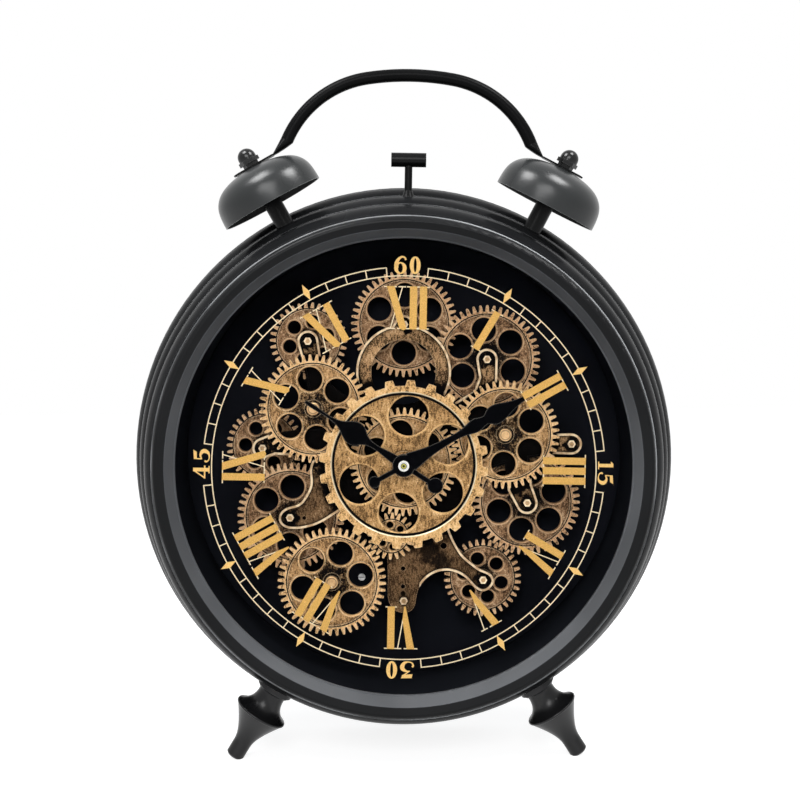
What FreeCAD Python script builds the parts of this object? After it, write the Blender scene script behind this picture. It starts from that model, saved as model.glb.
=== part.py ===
import FreeCAD, Part
import math
import os

os.makedirs("parts", exist_ok=True)
V = FreeCAD.Vector

# A skeleton mantel clock in the shape of a twin-bell alarm clock, in millimetres.
# Pieces are drawn about the dial axis: X to the viewer's right, Y backwards from the
# bezel's edge plane, Z up. save() then lowers the origin to the floor under the middle.

# Overall
FLOOR_DROP = 226.0
# The clock leans a little to the right over its feet, as it stands in the photo
BODY_LEAN = 1.55
CREST_DEPTH = -5.0
LEG_DEPTH = 150.0
MID_DEPTH = (CREST_DEPTH + LEG_DEPTH) / 2

# Drum: three rolled ridges, each wider than the last and ending in a fine bead, then a skirt
# and a rear flange
SHEET = 1.2
RIDGES = ((199.8, 26.7), (208.0, 53.0), (216.0, 80.0))
DRUM_LIP_R = 188.2
DRUM_LIP_DEPTH = 0.5
RIDGE_START = (191.0, 2.2)
BEAD_RISE = 0.7
BEAD_RUN = 2.4
CREASE = 1.1
SKIRT_R = RIDGES[-1][0] - BEAD_RISE
REAR_ROUND = 6.0
DRUM_REAR = 101.2
FLANGE_R = 194.0

# Bezel, glass and liner: a bead runs round the bezel's rim and another round its opening,
# each given as radius and depth of its points
BEZEL_R = 190.0
RIM_BEAD = ((190.0, 0.0), (189.65, -0.8), (188.9, -1.1), (188.4, -0.7))
BEZEL_CREST_R = 184.5
BAND_R = 179.0
BAND_DEPTH = -3.8
OPENING_R = 172.5
LIP_BEAD = ((173.5, 4.9), (172.55, 5.35))
BEZEL_WALL = 1.6
GLASS_R = 178.0
GLASS_FRONT = 8.0
GLASS_T = 3.0
GASKET_R = 173.5
GASKET_T = 2.0
LINER_R = 175.2

# Dial plate
PLATE_R = 213.8
PLATE_FRONT = 80.0
PLATE_T = 1.5
PLATE_BACK = PLATE_FRONT + PLATE_T
SPACER_COUNT = 6
SPACER_CIRCLE = 203.0
SPACER_R = 5.0
SCREW_R = 2.0
SCREW_HEAD_R = 3.6
SCREW_HEAD_T = 2.2
SCREW_SLOT_W = 0.8
SCREW_SLOT_DEPTH = 1.0
DIAL_SCREW = (-32.3, -98.9)
DIAL_SCREW_R = 1.5
DIAL_SCREW_HEAD = (2.8, 1.6)
DIAL_SCREW_SLOT = (0.7, 0.8)
DIAL_SCREW_TIP = 86.0
PLATE_CUT = (70.0, 90.0)
REAR_CUT = (90.0, 110.0)

# Wheels: tooth sizes shared by every toothed wheel of the train
TIP_OVER_PITCH = 1.5
ROOT_UNDER_PITCH = 3.7
MODULE = 1.7
TOOTH_ROOT_HALF = 1.6
TOOTH_SHOULDER_HALF = 0.95
TOOTH_ROUND = 0.9
WHEEL_T = 4.0
POST_R = 2.5
RUNNING = 0.05
HUB_R = 7.0
SPACER_TUBE_R = 4.0
END_PLAY = 0.3
GROOVE_W = 0.9
GROOVE_DEPTH = 0.7
POCKET_DEPTH = 0.8
COLLAR_W = 1.3
HOLE_CHAMFER = 0.5
RIM_CHAMFER = 0.8

# Front faces of the wheel layers
FRONT_LAYER = 22.0
SECOND_LAYER = 39.0
THIRD_LAYER = 53.0
REAR_LAYER = 63.0

# Bridge
BRIDGE_RIB_FRONT = 45.3
BRIDGE_FRONT = 46.5
BRIDGE_BACK = 48.5
BRIDGE_CUT = (40.0, 50.0)
RIB_W = 1.7
HUB_DISC_R = 57.0
ARCH = (-1.3, 69.6)
ARCH_R = 37.1
ARCH_HOLE_R = 25.4
THREAD_R = 1.5
NUT_AF = 5.5
NUT_T = 2.4
THREAD_FRONT = 43.4

# Round caps on the posts of the three second-layer wheels
CAP_R = 5.0
CAP_FRONT = 35.4
CAP_ROUND = 0.8
POST_FRONT = 37.4

# Centre
SLEEVE_R = 6.0
SLEEVE_BORE_R = 3.0
SLEEVE_FRONT = 19.9
SLEEVE_CAP_T = 1.0
SLEEVE_COLLAR = (8.0, 43.9, 45.2)
SLEEVE_FLANGE_R = 11.0
SLEEVE_FLANGE_T = 2.0
CENTRE_TUBE_R = 8.5
CENTRE_TUBE_DEPTHS = (21.2, 43.6)
HOUR_TUBE_R = 2.95
MINUTE_ARBOR_R = 2.0
MINUTE_NOSE_R = 1.6

# Hands
MINUTE_ANGLE = 59.8
HOUR_ANGLE = 302.0
HAND_T = 0.8
HAND_HUB_R = 8.6
MINUTE_HAND = (15.0, 16.2)
HOUR_HAND = (17.9, 19.1)

# Bells, handle and hammer, all at one depth
TOP_DEPTH = 50.0
# Side, name, clock angle at the root, lean outwards, lean forwards, rise
BELL_STACKS = (
    (-1, "left", 27.5, 2.9, 2.6, -2.2),
    (1, "right", 28.15, -1.55, 4.2, -0.3),
)
BELL_RIM = 228.0
BELL_APEX = 260.0
BELL_WALL = 1.2
STEM_R = 7.2
STUD_R = 3.0
ROOT = 196.0
SEAT_GAP = 0.35
WASHER_R = 9.0
WASHER_T = 0.2
STRIP_T = 1.2
STRIP_W = 14.0
STRIP_IN = 19.0
STRIP_OUT = 9.0
STRIP_TOP = BELL_APEX + WASHER_T + STRIP_T
LOCK_NUT_AF = 11.0
LOCK_NUT_T = 2.6
ACORN_AF = 14.6
ACORN_SKIRT = 3.2
ACORN_NECK = 1.8
ACORN_R = 7.2
HANDLE_TOP = 301.5
HANDLE_TOP_R = 204.6
HANDLE_TOP_HALF = 9.4
HANDLE_BEND_R = 81.3
HANDLE_END = 68.0
HANDLE_TUBE_R = 5.0
HANDLE_NECK = (6.4, 3.0)
HAMMER_ROD_R = 3.0
HAMMER_R = 5.6
HAMMER_LENGTH = 27.3
HAMMER_Z = 235.5
WELD_R = 5.2
WELD_LOW = 206.0
WELD_HEIGHT = 5.5

# Feet and rear leg
FOOT_ANGLE = 30.3
FOOT_LEAN = 1.55
FOOT_DEPTH = 28.0
FOOT_START = 199.4
FOOT_END = 261.0
LEG_W = 26.0
LEG_T = 3.0
LEG_TOP_Z = -196.0
LEG_BEND_Z = -208.0
LEG_TOE = 12.0
LEG_SPARE = 0.5
LEG_SCREW_X = (-7.0, 7.0)
LEG_SCREW_Z = -201.5

# Movement and drive boxes behind the dial plate
BOX_WALL = 1.5
BOX_COVER_FRONT = 97.9
BOX_BACK = 99.4
MOVEMENT_X = (-28.0, 28.0)
MOVEMENT_Z = (-28.0, 28.0)
DRIVE_X = (-30.0, 22.0)
DRIVE_Z = (-80.0, -34.0)
TRAY_X = (-28.0, 28.0)
TRAY_Z = (-119.0, -86.0)
CELL_R = 7.1
CELL_LENGTH = 50.0
CELL_NUB_R = 2.7
CELL_NUB = 1.3
CELL_HALF_GAP = 7.4
MOVEMENT_CELL_Z = -18.9

# Switch, motor and its reduction
SWITCH_X = (-17.5, -12.5)
SWITCH_Z = -44.0
SWITCH_HALF = 1.5
SWITCH_FOOT = 3.0
SWITCH_TRAVEL = 5.0
SWITCH_PROUD = 2.2
SWITCH_FOOT_DEPTHS = (96.5, 97.7)
SLOT_GAP = 0.3
MOTOR_OFFSET = 15.0
MOTOR_R = 9.5
MOTOR_FRONT = 89.6
MOTOR_BORE_BACK = 94.0
MOTOR_TEETH = 10
DRIVE_TEETH = 50
SMALL_MODULE = 0.5
SMALL_AXLE_R = 1.0

# Motion work: cannon pinion to minute wheel, its pinion to the hour wheel
HOUR_MODULE = 0.48
CANNON_TEETH = 12
MINUTE_WHEEL_TEETH = 36
HOUR_PINION_TEETH = 10
HOUR_WHEEL_TEETH = 40
MINUTE_WHEEL_Z = 12.0
KNOB_R = 7.0
KNOB_DEPTHS = (99.9, 103.0)
KNOB_GRIPS = 12


def polar(radius, angle):
    """Return x and z at an angle counted anticlockwise from +X as seen from the front."""
    turn = math.radians(angle)
    return radius * math.cos(turn), radius * math.sin(turn)


def cylinder(x, z, radius, near, far):
    return Part.makeCylinder(radius, far - near, V(x, near, z), V(0, 1, 0))


def tube(x, z, outer, inner, near, far):
    return cylinder(x, z, outer, near, far).cut(cylinder(x, z, inner, near, far))


def block(x_range, depth_range, z_range):
    size = [high - low for low, high in (x_range, depth_range, z_range)]
    return Part.makeBox(*size, V(x_range[0], depth_range[0], z_range[0]))


def fuse(shapes):
    shapes = list(shapes)
    return shapes[0].multiFuse(shapes[1:]).removeSplitter() if len(shapes) > 1 else shapes[0]


def hexagon(x, z, across_flats, near, far):
    corner = across_flats / math.sqrt(3)
    points = [V(x + px, near, z + pz) for px, pz in (polar(corner, 60 * k) for k in range(7))]
    return Part.Face(Part.makePolygon(points)).extrude(V(0, far - near, 0))


def outline(start, steps, place):
    """Join straight and curved steps into one closed wire.

    A step is a point, a pair ("arc", middle, end) or ("curve", points).
    """
    edges = []
    here = start
    for step in steps + [start]:
        if step[0] == "arc":
            edges.append(Part.Arc(place(here), place(step[1]), place(step[2])).toShape())
            here = step[2]
        elif step[0] == "curve":
            curve = Part.BSplineCurve()
            curve.interpolate([place(here)] + [place(point) for point in step[1]])
            edges.append(curve.toShape())
            here = step[1][-1]
        elif math.dist(here, step) > 1e-6:
            edges.append(Part.LineSegment(place(here), place(step)).toShape())
            here = step
    return Part.Wire(edges)


def turned_about_dial(start, steps):
    """Turn a section of radius and depth about the dial axis."""
    wire = outline(start, steps, lambda p: V(p[0], p[1], 0))
    return Part.Face(wire).revolve(V(0, 0, 0), V(0, 1, 0), 360)


def turned_upright(start, steps):
    """Turn a section of radius and height about Z."""
    wire = outline(start, steps, lambda p: V(p[0], 0, p[1]))
    return Part.Face(wire).revolve(V(0, 0, 0), V(0, 0, 1), 360)


def set_radially(shape, clock_angle, depth):
    """Swing an upright shape to a clock angle about the dial axis, at a depth."""
    moved = shape.copy()
    moved.rotate(V(0, 0, 0), V(0, 1, 0), clock_angle)
    moved.translate(V(0, depth, 0))
    return moved


def set_leaning(shape, clock_angle, depth, outwards, forwards=0.0, rise=0.0):
    """Swing an upright shape to a clock angle, leaning by small angles about its root."""
    moved = shape.copy()
    moved.translate(V(0, 0, rise))
    moved.rotate(V(0, 0, ROOT), V(1, 0, 0), forwards)
    moved.rotate(V(0, 0, ROOT), V(0, 1, 0), outwards)
    return set_radially(moved, clock_angle, depth)


def set_on_stack(shape, stack):
    """Place a shape of the bell stacks, built upright, on one of them."""
    side, _, clock_angle, outwards, forwards, rise = stack
    return set_leaning(shape, side * clock_angle, TOP_DEPTH, side * outwards, forwards, rise)


def shifted(shape, x, z, depth=0.0):
    moved = shape.copy()
    moved.translate(V(x, depth, z))
    return moved


def save(name, *solids, lean=BODY_LEAN):
    """Write one node, its solids kept separate, leaning with the clock's body."""
    shape = solids[0] if len(solids) == 1 else Part.Compound(list(solids))
    moved = shape.copy()
    moved.rotate(V(0, 0, 0), V(0, 1, 0), lean)
    moved.translate(V(0, -MID_DEPTH, FLOOR_DROP))
    moved.exportStep("parts/" + name + ".step")


# Case

def drum_section(inset, beaded):
    """Return the ridged line from the front lip to the skirt, moved inwards, with its beads."""
    steps = [(DRUM_LIP_R - inset, RIDGE_START[1] - 0.6), (RIDGE_START[0] - inset, RIDGE_START[1])]
    here = steps[-1]
    for radius, depth in RIDGES:
        base = radius - inset - BEAD_RISE
        bead_front, bead_rear = depth - BEAD_RUN / 2, depth + BEAD_RUN / 2
        end = (base, bead_front if beaded else bead_rear)
        rise, run = end[0] - here[0], end[1] - here[1]
        bend = (run ** 2 + rise ** 2) / (2 * rise)
        half = math.asin(run / bend) / 2
        middle = (end[0] - bend * (1 - math.cos(half)), end[1] - bend * math.sin(half))
        steps.append(("arc", middle, end))
        if beaded:
            steps.append(("arc", (base + BEAD_RISE, depth), (base, bead_rear)))
        here = (base - CREASE, bead_rear + CREASE)
        if radius != RIDGES[-1][0]:
            steps.append(here)
    return steps


def round_corner(outer, rear, radius):
    """Return the arc that turns the skirt inwards at the rear."""
    slant = radius * (1 - math.sqrt(0.5))
    return [(outer, rear - radius), ("arc", (outer - slant, rear - slant), (outer - radius, rear))]


def reversed_steps(start, steps):
    """Run a list of steps the other way, back to its start."""
    ends = [start] + [step[2] if step[0] == "arc" else step for step in steps]
    back = []
    for step, end in zip(reversed(steps), reversed(ends[:-1])):
        back.append(("arc", step[1], end) if step[0] == "arc" else end)
    return back


def case_drum():
    front_out = (DRUM_LIP_R, DRUM_LIP_DEPTH)
    outer = drum_section(0.0, True) + round_corner(SKIRT_R, DRUM_REAR, REAR_ROUND)
    front_in = (DRUM_LIP_R - SHEET, DRUM_LIP_DEPTH)
    inner = drum_section(SHEET, False)
    inner += round_corner(SKIRT_R - SHEET, DRUM_REAR - SHEET, REAR_ROUND - SHEET)
    inner.append((FLANGE_R, DRUM_REAR - SHEET))
    steps = outer + [(FLANGE_R, DRUM_REAR), (FLANGE_R, DRUM_REAR - SHEET)]
    return turned_about_dial(front_out, steps + reversed_steps(front_in, inner))


def drum_block():
    """Return the drum filled in, for trimming what stands on it."""
    steps = drum_section(0.0, True)
    steps += [(SKIRT_R, DRUM_REAR), (0.0, DRUM_REAR), (0.0, DRUM_LIP_DEPTH)]
    return turned_about_dial((DRUM_LIP_R, DRUM_LIP_DEPTH), steps)


def front_bezel():
    lip_back = GLASS_FRONT
    inner_opening = OPENING_R + BEZEL_WALL
    steps = [
        RIM_BEAD[0],
        ("arc", RIM_BEAD[1], RIM_BEAD[2]),
        RIM_BEAD[3],
        ("arc", (BEZEL_R - 2.5, -3.6), (BEZEL_CREST_R, CREST_DEPTH)),
        (BAND_R, BAND_DEPTH),
        LIP_BEAD[0],
        ("arc", LIP_BEAD[1], (OPENING_R, lip_back - BEZEL_WALL)),
        (OPENING_R, lip_back),
        (inner_opening, lip_back),
        (inner_opening, lip_back - 1.0),
        (BAND_R + 1.2, BAND_DEPTH + BEZEL_WALL),
        (BEZEL_CREST_R, CREST_DEPTH + BEZEL_WALL),
        ("arc", (BEZEL_R - BEZEL_WALL - 1.3, -2.1), (BEZEL_R - BEZEL_WALL, 0.4)),
        (BEZEL_R - BEZEL_WALL, 1.6),
    ]
    return turned_about_dial((BEZEL_R, 1.6), steps)


def inner_liner():
    flange_front = GLASS_FRONT + GLASS_T + GASKET_T
    steps = [
        (DRUM_LIP_R - SHEET - 0.2, flange_front),
        (DRUM_LIP_R - SHEET - 0.2, flange_front + SHEET),
        (LINER_R + SHEET, flange_front + SHEET),
        (LINER_R + SHEET, PLATE_FRONT),
        (LINER_R, PLATE_FRONT),
    ]
    return turned_about_dial((LINER_R, flange_front), steps)


# Train layout: name, centre, teeth, layer front and window phase

TRAIN = {
    "centre_wheel": ((0.0, 0.0), 48, SECOND_LAYER, 37.5),
    "right_wheel": (polar(81.6, 16.05), 48, SECOND_LAYER, 28.0),
    "left_wheel": (polar(81.6, 150.4), 48, SECOND_LAYER, 37.6),
    "drive_pinion": (polar(58.7, 261.5), 20, SECOND_LAYER, 38.0),
    "lower_left_wheel": ((-54.5, -94.6), 48, SECOND_LAYER, 13.8),
    "upper_right_wheel": ((63.8, 80.6), 48, THIRD_LAYER, 36.0),
    "lower_right_wheel": ((97.2, -31.3), 48, THIRD_LAYER, 21.0),
    "small_lower_wheel": ((63.73, -92.44), 34, THIRD_LAYER, 46.0),
    "low_left_wheel": ((-88.3, -46.0), 48, THIRD_LAYER, 28.0),
    "small_upper_wheel": ((-76.5, 92.5), 34, THIRD_LAYER, 17.5),
    "top_wheel": ((-1.4, 106.8), 48, REAR_LAYER, 30.0),
    "small_left_wheel": ((-110.6, 8.1), 34, REAR_LAYER, 58.5),
}

# Ring line, window circle, window radius and window count for each tooth count
WHEEL_FACE = {48: (35.3, 23.0, 9.5), 34: (25.4, 15.4, 5.2), 20: (13.2, 8.7, 2.6)}

MESHES = (
    ("centre_wheel", "right_wheel"),
    ("centre_wheel", "left_wheel"),
    ("centre_wheel", "drive_pinion"),
    ("drive_pinion", "lower_left_wheel"),
    ("lower_right_wheel", "small_lower_wheel"),
)


def direction(a, b):
    return math.degrees(math.atan2(b[1] - a[1], b[0] - a[0]))


def mesh_phase(toward, phase, teeth, next_teeth):
    """Return the tooth phase of the next wheel, a tooth in the gap of the first."""
    pitch = 360.0 / teeth
    lead = ((toward - phase) / pitch) % 1.0
    return toward + 180.0 - (360.0 / next_teeth) * (0.5 - lead)


def tooth_phases():
    phases = {name: 0.0 for name in TRAIN}
    for first, second in MESHES:
        toward = direction(TRAIN[first][0], TRAIN[second][0])
        phases[second] = mesh_phase(toward, phases[first], TRAIN[first][1], TRAIN[second][1])
    return phases


def toothed_disc(teeth, tip, root, root_half, shoulder_half, rounding, phase, near, thickness):
    """Extrude a toothed outline: straight flanks, a curved tip and an arc at each root."""
    def at(radius, angle, offset=0.0):
        x, z = polar(radius, angle + math.degrees(offset / radius))
        return V(x, near, z)

    shoulder = tip - rounding
    edges = []
    for k in range(teeth):
        angle = phase + 360.0 * k / teeth
        following = angle + 360.0 / teeth
        foot = at(root, angle, root_half)
        next_foot = at(root, following, -root_half)
        left = at(shoulder, angle, shoulder_half)
        right = at(shoulder, angle, -shoulder_half)
        edges.append(Part.LineSegment(at(root, angle, -root_half), right).toShape())
        edges.append(Part.Arc(right, at(tip, angle), left).toShape())
        edges.append(Part.LineSegment(left, foot).toShape())
        edges.append(Part.Arc(foot, at(root, (angle + following) / 2), next_foot).toShape())
    return Part.Face(Part.Wire(edges)).extrude(V(0, thickness, 0))


def window_cutter(circle, radius, phase, near, thickness):
    """Return six round windows with a chamfer at the front."""
    cutters = []
    for k in range(6):
        x, z = polar(circle, phase + 60.0 * k)
        cutters.append(cylinder(x, z, radius, near - 1.0, near + thickness + 1.0))
        cutters.append(Part.makeCone(radius + HOLE_CHAMFER, radius, HOLE_CHAMFER,
                                     V(x, near, z), V(0, 1, 0)))
    return cutters


def wheel(name, phase, bore):
    """Cut one train wheel about its own centre: windows, groove, sunk web and hub."""
    _, teeth, near, window_phase = TRAIN[name]
    pitch_r = MODULE * teeth / 2
    ring, circle, window = WHEEL_FACE[teeth]
    disc = toothed_disc(teeth, pitch_r + TIP_OVER_PITCH, pitch_r - ROOT_UNDER_PITCH,
                        TOOTH_ROOT_HALF, TOOTH_SHOULDER_HALF, TOOTH_ROUND, phase, near, WHEEL_T)
    groove = tube(0, 0, ring + GROOVE_W / 2, ring - GROOVE_W / 2, near, near + GROOVE_DEPTH)
    hub_r = min(HUB_R, circle - window - 1.2)
    pocket = tube(0, 0, ring - 1.2, hub_r, near, near + POCKET_DEPTH)
    for k in range(6):
        x, z = polar(circle, window_phase + 60.0 * k)
        pocket = pocket.cut(cylinder(x, z, window + COLLAR_W, near - 1, near + 2))
    disc = disc.cut([groove, pocket] + window_cutter(circle, window, window_phase, near, WHEEL_T))
    front = near - 1.0 if near == SECOND_LAYER else BRIDGE_BACK + END_PLAY
    disc = fuse([disc, cylinder(0, 0, min(hub_r, 5.0), front, near + WHEEL_T)])
    return disc.cut(cylinder(0, 0, bore, front - 1, near + WHEEL_T + 1))


def main_gear():
    """Cut the big front wheel with its square teeth, raised rim and six large windows."""
    teeth, tip, root, rim, circle, window = 24, 64.8, 60.2, 54.9, 37.3, 15.2
    tooth_phase, window_phase, thickness, web_drop, boss = -4.0, 25.0, 4.5, 1.6, 10.3
    disc = toothed_disc(teeth, tip, root, 4.0, 2.9, 0.15, tooth_phase, FRONT_LAYER, thickness)
    web = tube(0, 0, rim, boss, FRONT_LAYER, FRONT_LAYER + web_drop)
    back = tube(0, 0, rim, boss, FRONT_LAYER + 3.2, FRONT_LAYER + thickness)
    slope = Part.makeCone(rim + RIM_CHAMFER, rim, RIM_CHAMFER, V(0, FRONT_LAYER, 0), V(0, 1, 0))
    slope = slope.cut(cylinder(0, 0, rim - 1.0, FRONT_LAYER, FRONT_LAYER + RIM_CHAMFER))
    cutters = window_cutter(circle, window, window_phase, FRONT_LAYER + web_drop, thickness)
    disc = disc.cut([web, back, slope] + cutters)
    return disc.cut(cylinder(0, 0, CENTRE_TUBE_R, FRONT_LAYER - 1, FRONT_LAYER + thickness + 1))


# Bridge: a plate with a raised edge, whose arms end in ears over the wheel posts.
# Straight arms are runs of circles (x, z, radius) with their common tangents.

STRAIGHT_ARMS = (
    ((-1.35, 97.0, 12.0), (-1.4, 106.6, 7.4)),
    ((-76.5, 92.5, 8.2), (-73.4, 79.0, 7.4), (-66.0, 54.0, 9.0), (-40.0, 28.0, 14.0)),
    ((-110.6, 8.1, 8.0), (-102.0, 11.6, 8.2), (-88.0, 12.5, 9.6), (-50.0, 12.0, 14.0)),
    ((63.8, 80.6, 8.3), (65.0, 66.0, 7.0), (62.0, 50.0, 9.0), (40.0, 28.0, 16.0)),
    ((131.0, 15.4, 8.2), (118.0, 15.3, 7.9), (92.0, 12.0, 9.0), (50.0, 6.0, 16.0)),
    ((97.0, -31.7, 8.4), (91.2, -19.0, 9.6), (88.0, 8.0, 10.0)),
)

# Sweeping arms, as smooth lines run anticlockwise and closed behind the main gear
LEFT_SWEEP = (
    (-46.0, 14.0), (-66.0, 6.0), (-73.3, -8.2), (-72.5, -17.8), (-76.0, -28.3), (-82.2, -35.5),
    (-91.3, -38.6), (-96.4, -43.5), (-96.8, -48.7), (-93.1, -53.2), (-84.6, -54.9),
    (-74.9, -53.5), (-65.2, -50.1), (-57.5, -45.5), (-46.0, -38.0),
)
LOWER_SWEEP = (
    (-14.0, -50.0), (-12.0, -74.5), (-10.9, -97.3), (-9.5, -111.8), (-4.6, -117.9), (2.1, -119.6),
    (8.5, -117.1), (11.1, -111.3), (11.8, -105.4), (15.6, -96.3), (21.8, -89.9), (28.8, -86.5),
    (35.6, -85.6), (43.3, -87.2), (50.6, -91.6), (56.4, -97.8), (64.0, -101.4), (69.9, -98.2),
    (72.1, -92.4), (69.4, -87.7), (62.1, -84.4), (55.7, -80.2), (47.5, -73.3), (42.0, -65.2),
    (38.3, -57.8), (35.0, -48.0),
)
BRIDGE_HOLES = ((0.9, -84.8, 1.8), (1.1, -98.9, 1.8), (1.2, -104.6, 2.1), (32.4, -66.4, 2.5),
                (-77.2, -46.3, 1.6))

# The lower leg has no raised edge here, as ranges of x and z
BARE_LEG = ((-17.0, 14.0), (-122.0, -60.0))


def tangent_run(circles, inset, near, far):
    """Return a flat bar round a run of circles, each joined to the next by tangents."""
    shapes = []
    for x, z, radius in circles:
        shapes.append(cylinder(x, z, radius - inset, near, far))
    for (x0, z0, r0), (x1, z1, r1) in zip(circles, circles[1:]):
        toward = math.degrees(math.atan2(z1 - z0, x1 - x0))
        lean = math.degrees(math.acos((r0 - r1) / math.dist((x0, z0), (x1, z1))))
        corners = []
        for x, z, radius, angle in ((x0, z0, r0, toward - lean), (x1, z1, r1, toward - lean),
                                    (x1, z1, r1, toward + lean), (x0, z0, r0, toward + lean)):
            px, pz = polar(radius - inset, angle)
            corners.append(V(x + px, near, z + pz))
        face = Part.Face(Part.makePolygon(corners + corners[:1]))
        shapes.append(face.extrude(V(0, far - near, 0)))
    return shapes


def sweep_arm(points, inset, near, far):
    """Return a flat arm inside a smooth line, moved inwards by the inset."""
    moved = []
    for k, (x, z) in enumerate(points):
        ahead = points[min(k + 1, len(points) - 1)]
        behind = points[max(k - 1, 0)]
        run = (ahead[0] - behind[0], ahead[1] - behind[1])
        length = math.hypot(*run)
        moved.append((x - inset * run[1] / length, z + inset * run[0] / length))
    wire = outline(moved[0], [("curve", moved[1:]), (0.0, 0.0)], lambda p: V(p[0], near, p[1]))
    return Part.Face(wire).extrude(V(0, far - near, 0))


def bridge_solid(inset, near, far):
    shapes = [cylinder(0, 0, HUB_DISC_R - inset, near, far)]
    shapes.append(cylinder(ARCH[0], ARCH[1], ARCH_R - inset, near, far))
    for run in STRAIGHT_ARMS:
        shapes += tangent_run(run, inset, near, far)
    shapes.append(sweep_arm(LEFT_SWEEP, inset, near, far))
    shapes.append(sweep_arm(LOWER_SWEEP, inset, near, far))
    return fuse(shapes)


def bridge_plate(posts, wheel_posts):
    plate = bridge_solid(0.0, BRIDGE_RIB_FRONT, BRIDGE_BACK)
    plate = plate.cut(bridge_solid(RIB_W, BRIDGE_RIB_FRONT - 1.0, BRIDGE_FRONT))
    plate = plate.cut(block(BARE_LEG[0], (BRIDGE_RIB_FRONT - 1.0, BRIDGE_FRONT), BARE_LEG[1]))
    cutters = [cylinder(ARCH[0], ARCH[1], ARCH_HOLE_R, *BRIDGE_CUT)]
    cutters.append(cylinder(0, 0, SLEEVE_R + 0.6, *BRIDGE_CUT))
    drive_x, drive_z = TRAIN["drive_pinion"][0]
    cutters.append(cylinder(drive_x, drive_z, POST_R + 1.5, *BRIDGE_CUT))
    cutters += [cylinder(x, z, radius, *BRIDGE_CUT) for x, z, radius in BRIDGE_HOLES]
    cutters += [cylinder(x, z, THREAD_R, *BRIDGE_CUT) for x, z in posts]
    cutters += [cylinder(x, z, SPACER_TUBE_R + 0.3, *BRIDGE_CUT) for x, z in wheel_posts]
    return plate.cut(cutters)


# Hands: half outlines of distance from the hub and half width, in order to the tip

MINUTE_SHAPE = ((6.0, 7.4), (14.0, 5.6), (23.0, 3.9), (39.0, 2.6), (54.0, 3.4), (65.0, 5.0),
                (71.5, 3.6), (76.0, 6.5), (80.5, 7.4), (86.0, 6.3), (93.0, 3.9), (103.0, 1.9),
                (120.5, 0.4))
HOUR_SHAPE = ((8.0, 3.4), (20.0, 2.3), (30.0, 2.3), (35.5, 4.3), (40.0, 7.8), (46.5, 8.9),
              (52.0, 6.4), (57.0, 3.3), (63.0, 1.6), (76.0, 1.4), (89.6, 1.1))
MINUTE_TAIL = (25.5, 4.5)
HOUR_TAIL = (28.7, 6.0)


def hand(shape, tail, bore, depths, clock_angle):
    """Cut a spade hand pointing up, then turn it to its clock angle."""
    near, far = depths
    left = [(-half, z) for z, half in reversed(shape)]
    right = [(half, z) for z, half in shape]
    wire = outline(left[-1], [right[0], ("curve", right[1:]), left[0], ("curve", left[1:])],
                   lambda p: V(p[0], near, p[1]))
    blade = Part.Face(wire).extrude(V(0, HAND_T, 0))
    neck = block((-1.9, 1.9), (near, near + HAND_T), (-tail[0], 9.0))
    hub = cylinder(0, 0, HAND_HUB_R, near, far)
    disc = cylinder(0, -tail[0], tail[1], near, near + HAND_T)
    whole = fuse([blade, neck, hub, disc]).cut(cylinder(0, 0, bore, near - 1, far + 1))
    return set_radially(whole, clock_angle, 0.0)


# Bells and what holds them

def bell():
    """Turn one bell about Z, its rim at the rim height: a thin shell with a hole for the stud."""
    height = BELL_APEX - BELL_RIM
    outer = [(41.5, 0.0), (41.2, 8.0), (39.2, 16.7), (33.3, 24.2), (24.0, 28.9), (12.0, 31.4),
             (0.0, height)]
    inner = [(41.5 - BELL_WALL, 0.0), (40.0, 7.8), (38.1, 16.1), (32.5, 23.3), (23.4, 27.8),
             (11.8, 30.2), (0.0, height - BELL_WALL)]
    raised = [(r, BELL_RIM + h) for r, h in outer]
    hollow = [(r, BELL_RIM + h) for r, h in inner]
    shell = turned_upright(raised[0], [("curve", raised[1:]), hollow[-1],
                                       ("curve", hollow[-2::-1])])
    return shell.cut(Part.makeCylinder(STUD_R, 40, V(0, 0, BELL_APEX - 20)))


def upright_hexagon(across_flats, low, high):
    corner = across_flats / math.sqrt(3)
    points = [V(*polar(corner, 60 * k), low) for k in range(7)]
    return Part.Face(Part.makePolygon(points)).extrude(V(0, 0, high - low))


def acorn_nut(low):
    """Return a domed nut with a blind hole for the stud's end."""
    neck_low = low + ACORN_SKIRT
    dome_low = neck_low + ACORN_NECK
    skirt = upright_hexagon(ACORN_AF, low, neck_low)
    neck = Part.makeCylinder(ACORN_R, ACORN_NECK, V(0, 0, neck_low))
    dome = Part.makeSphere(ACORN_R, V(0, 0, dome_low), V(0, 0, 1), 0, 90)
    stud_hole = Part.makeCylinder(STUD_R, dome_low - low, V(0, 0, low))
    return fuse([skirt, neck, dome]).cut(stud_hole)


def flat_oval(centre, run, half_width, half_thick):
    """Return a closed wire square to a run in the XZ plane: a circle, or an oval wide in depth."""
    normal = V(run[0], 0, run[1])
    across = V(0, 1, 0)
    up = normal.cross(across)
    side = centre + across * half_width
    if half_width == half_thick:
        line = Part.Circle(side, centre + up * half_thick, centre - across * half_width)
    else:
        line = Part.Ellipse(side, centre + up * half_thick, centre)
    return Part.Wire([line.toShape()])


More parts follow.
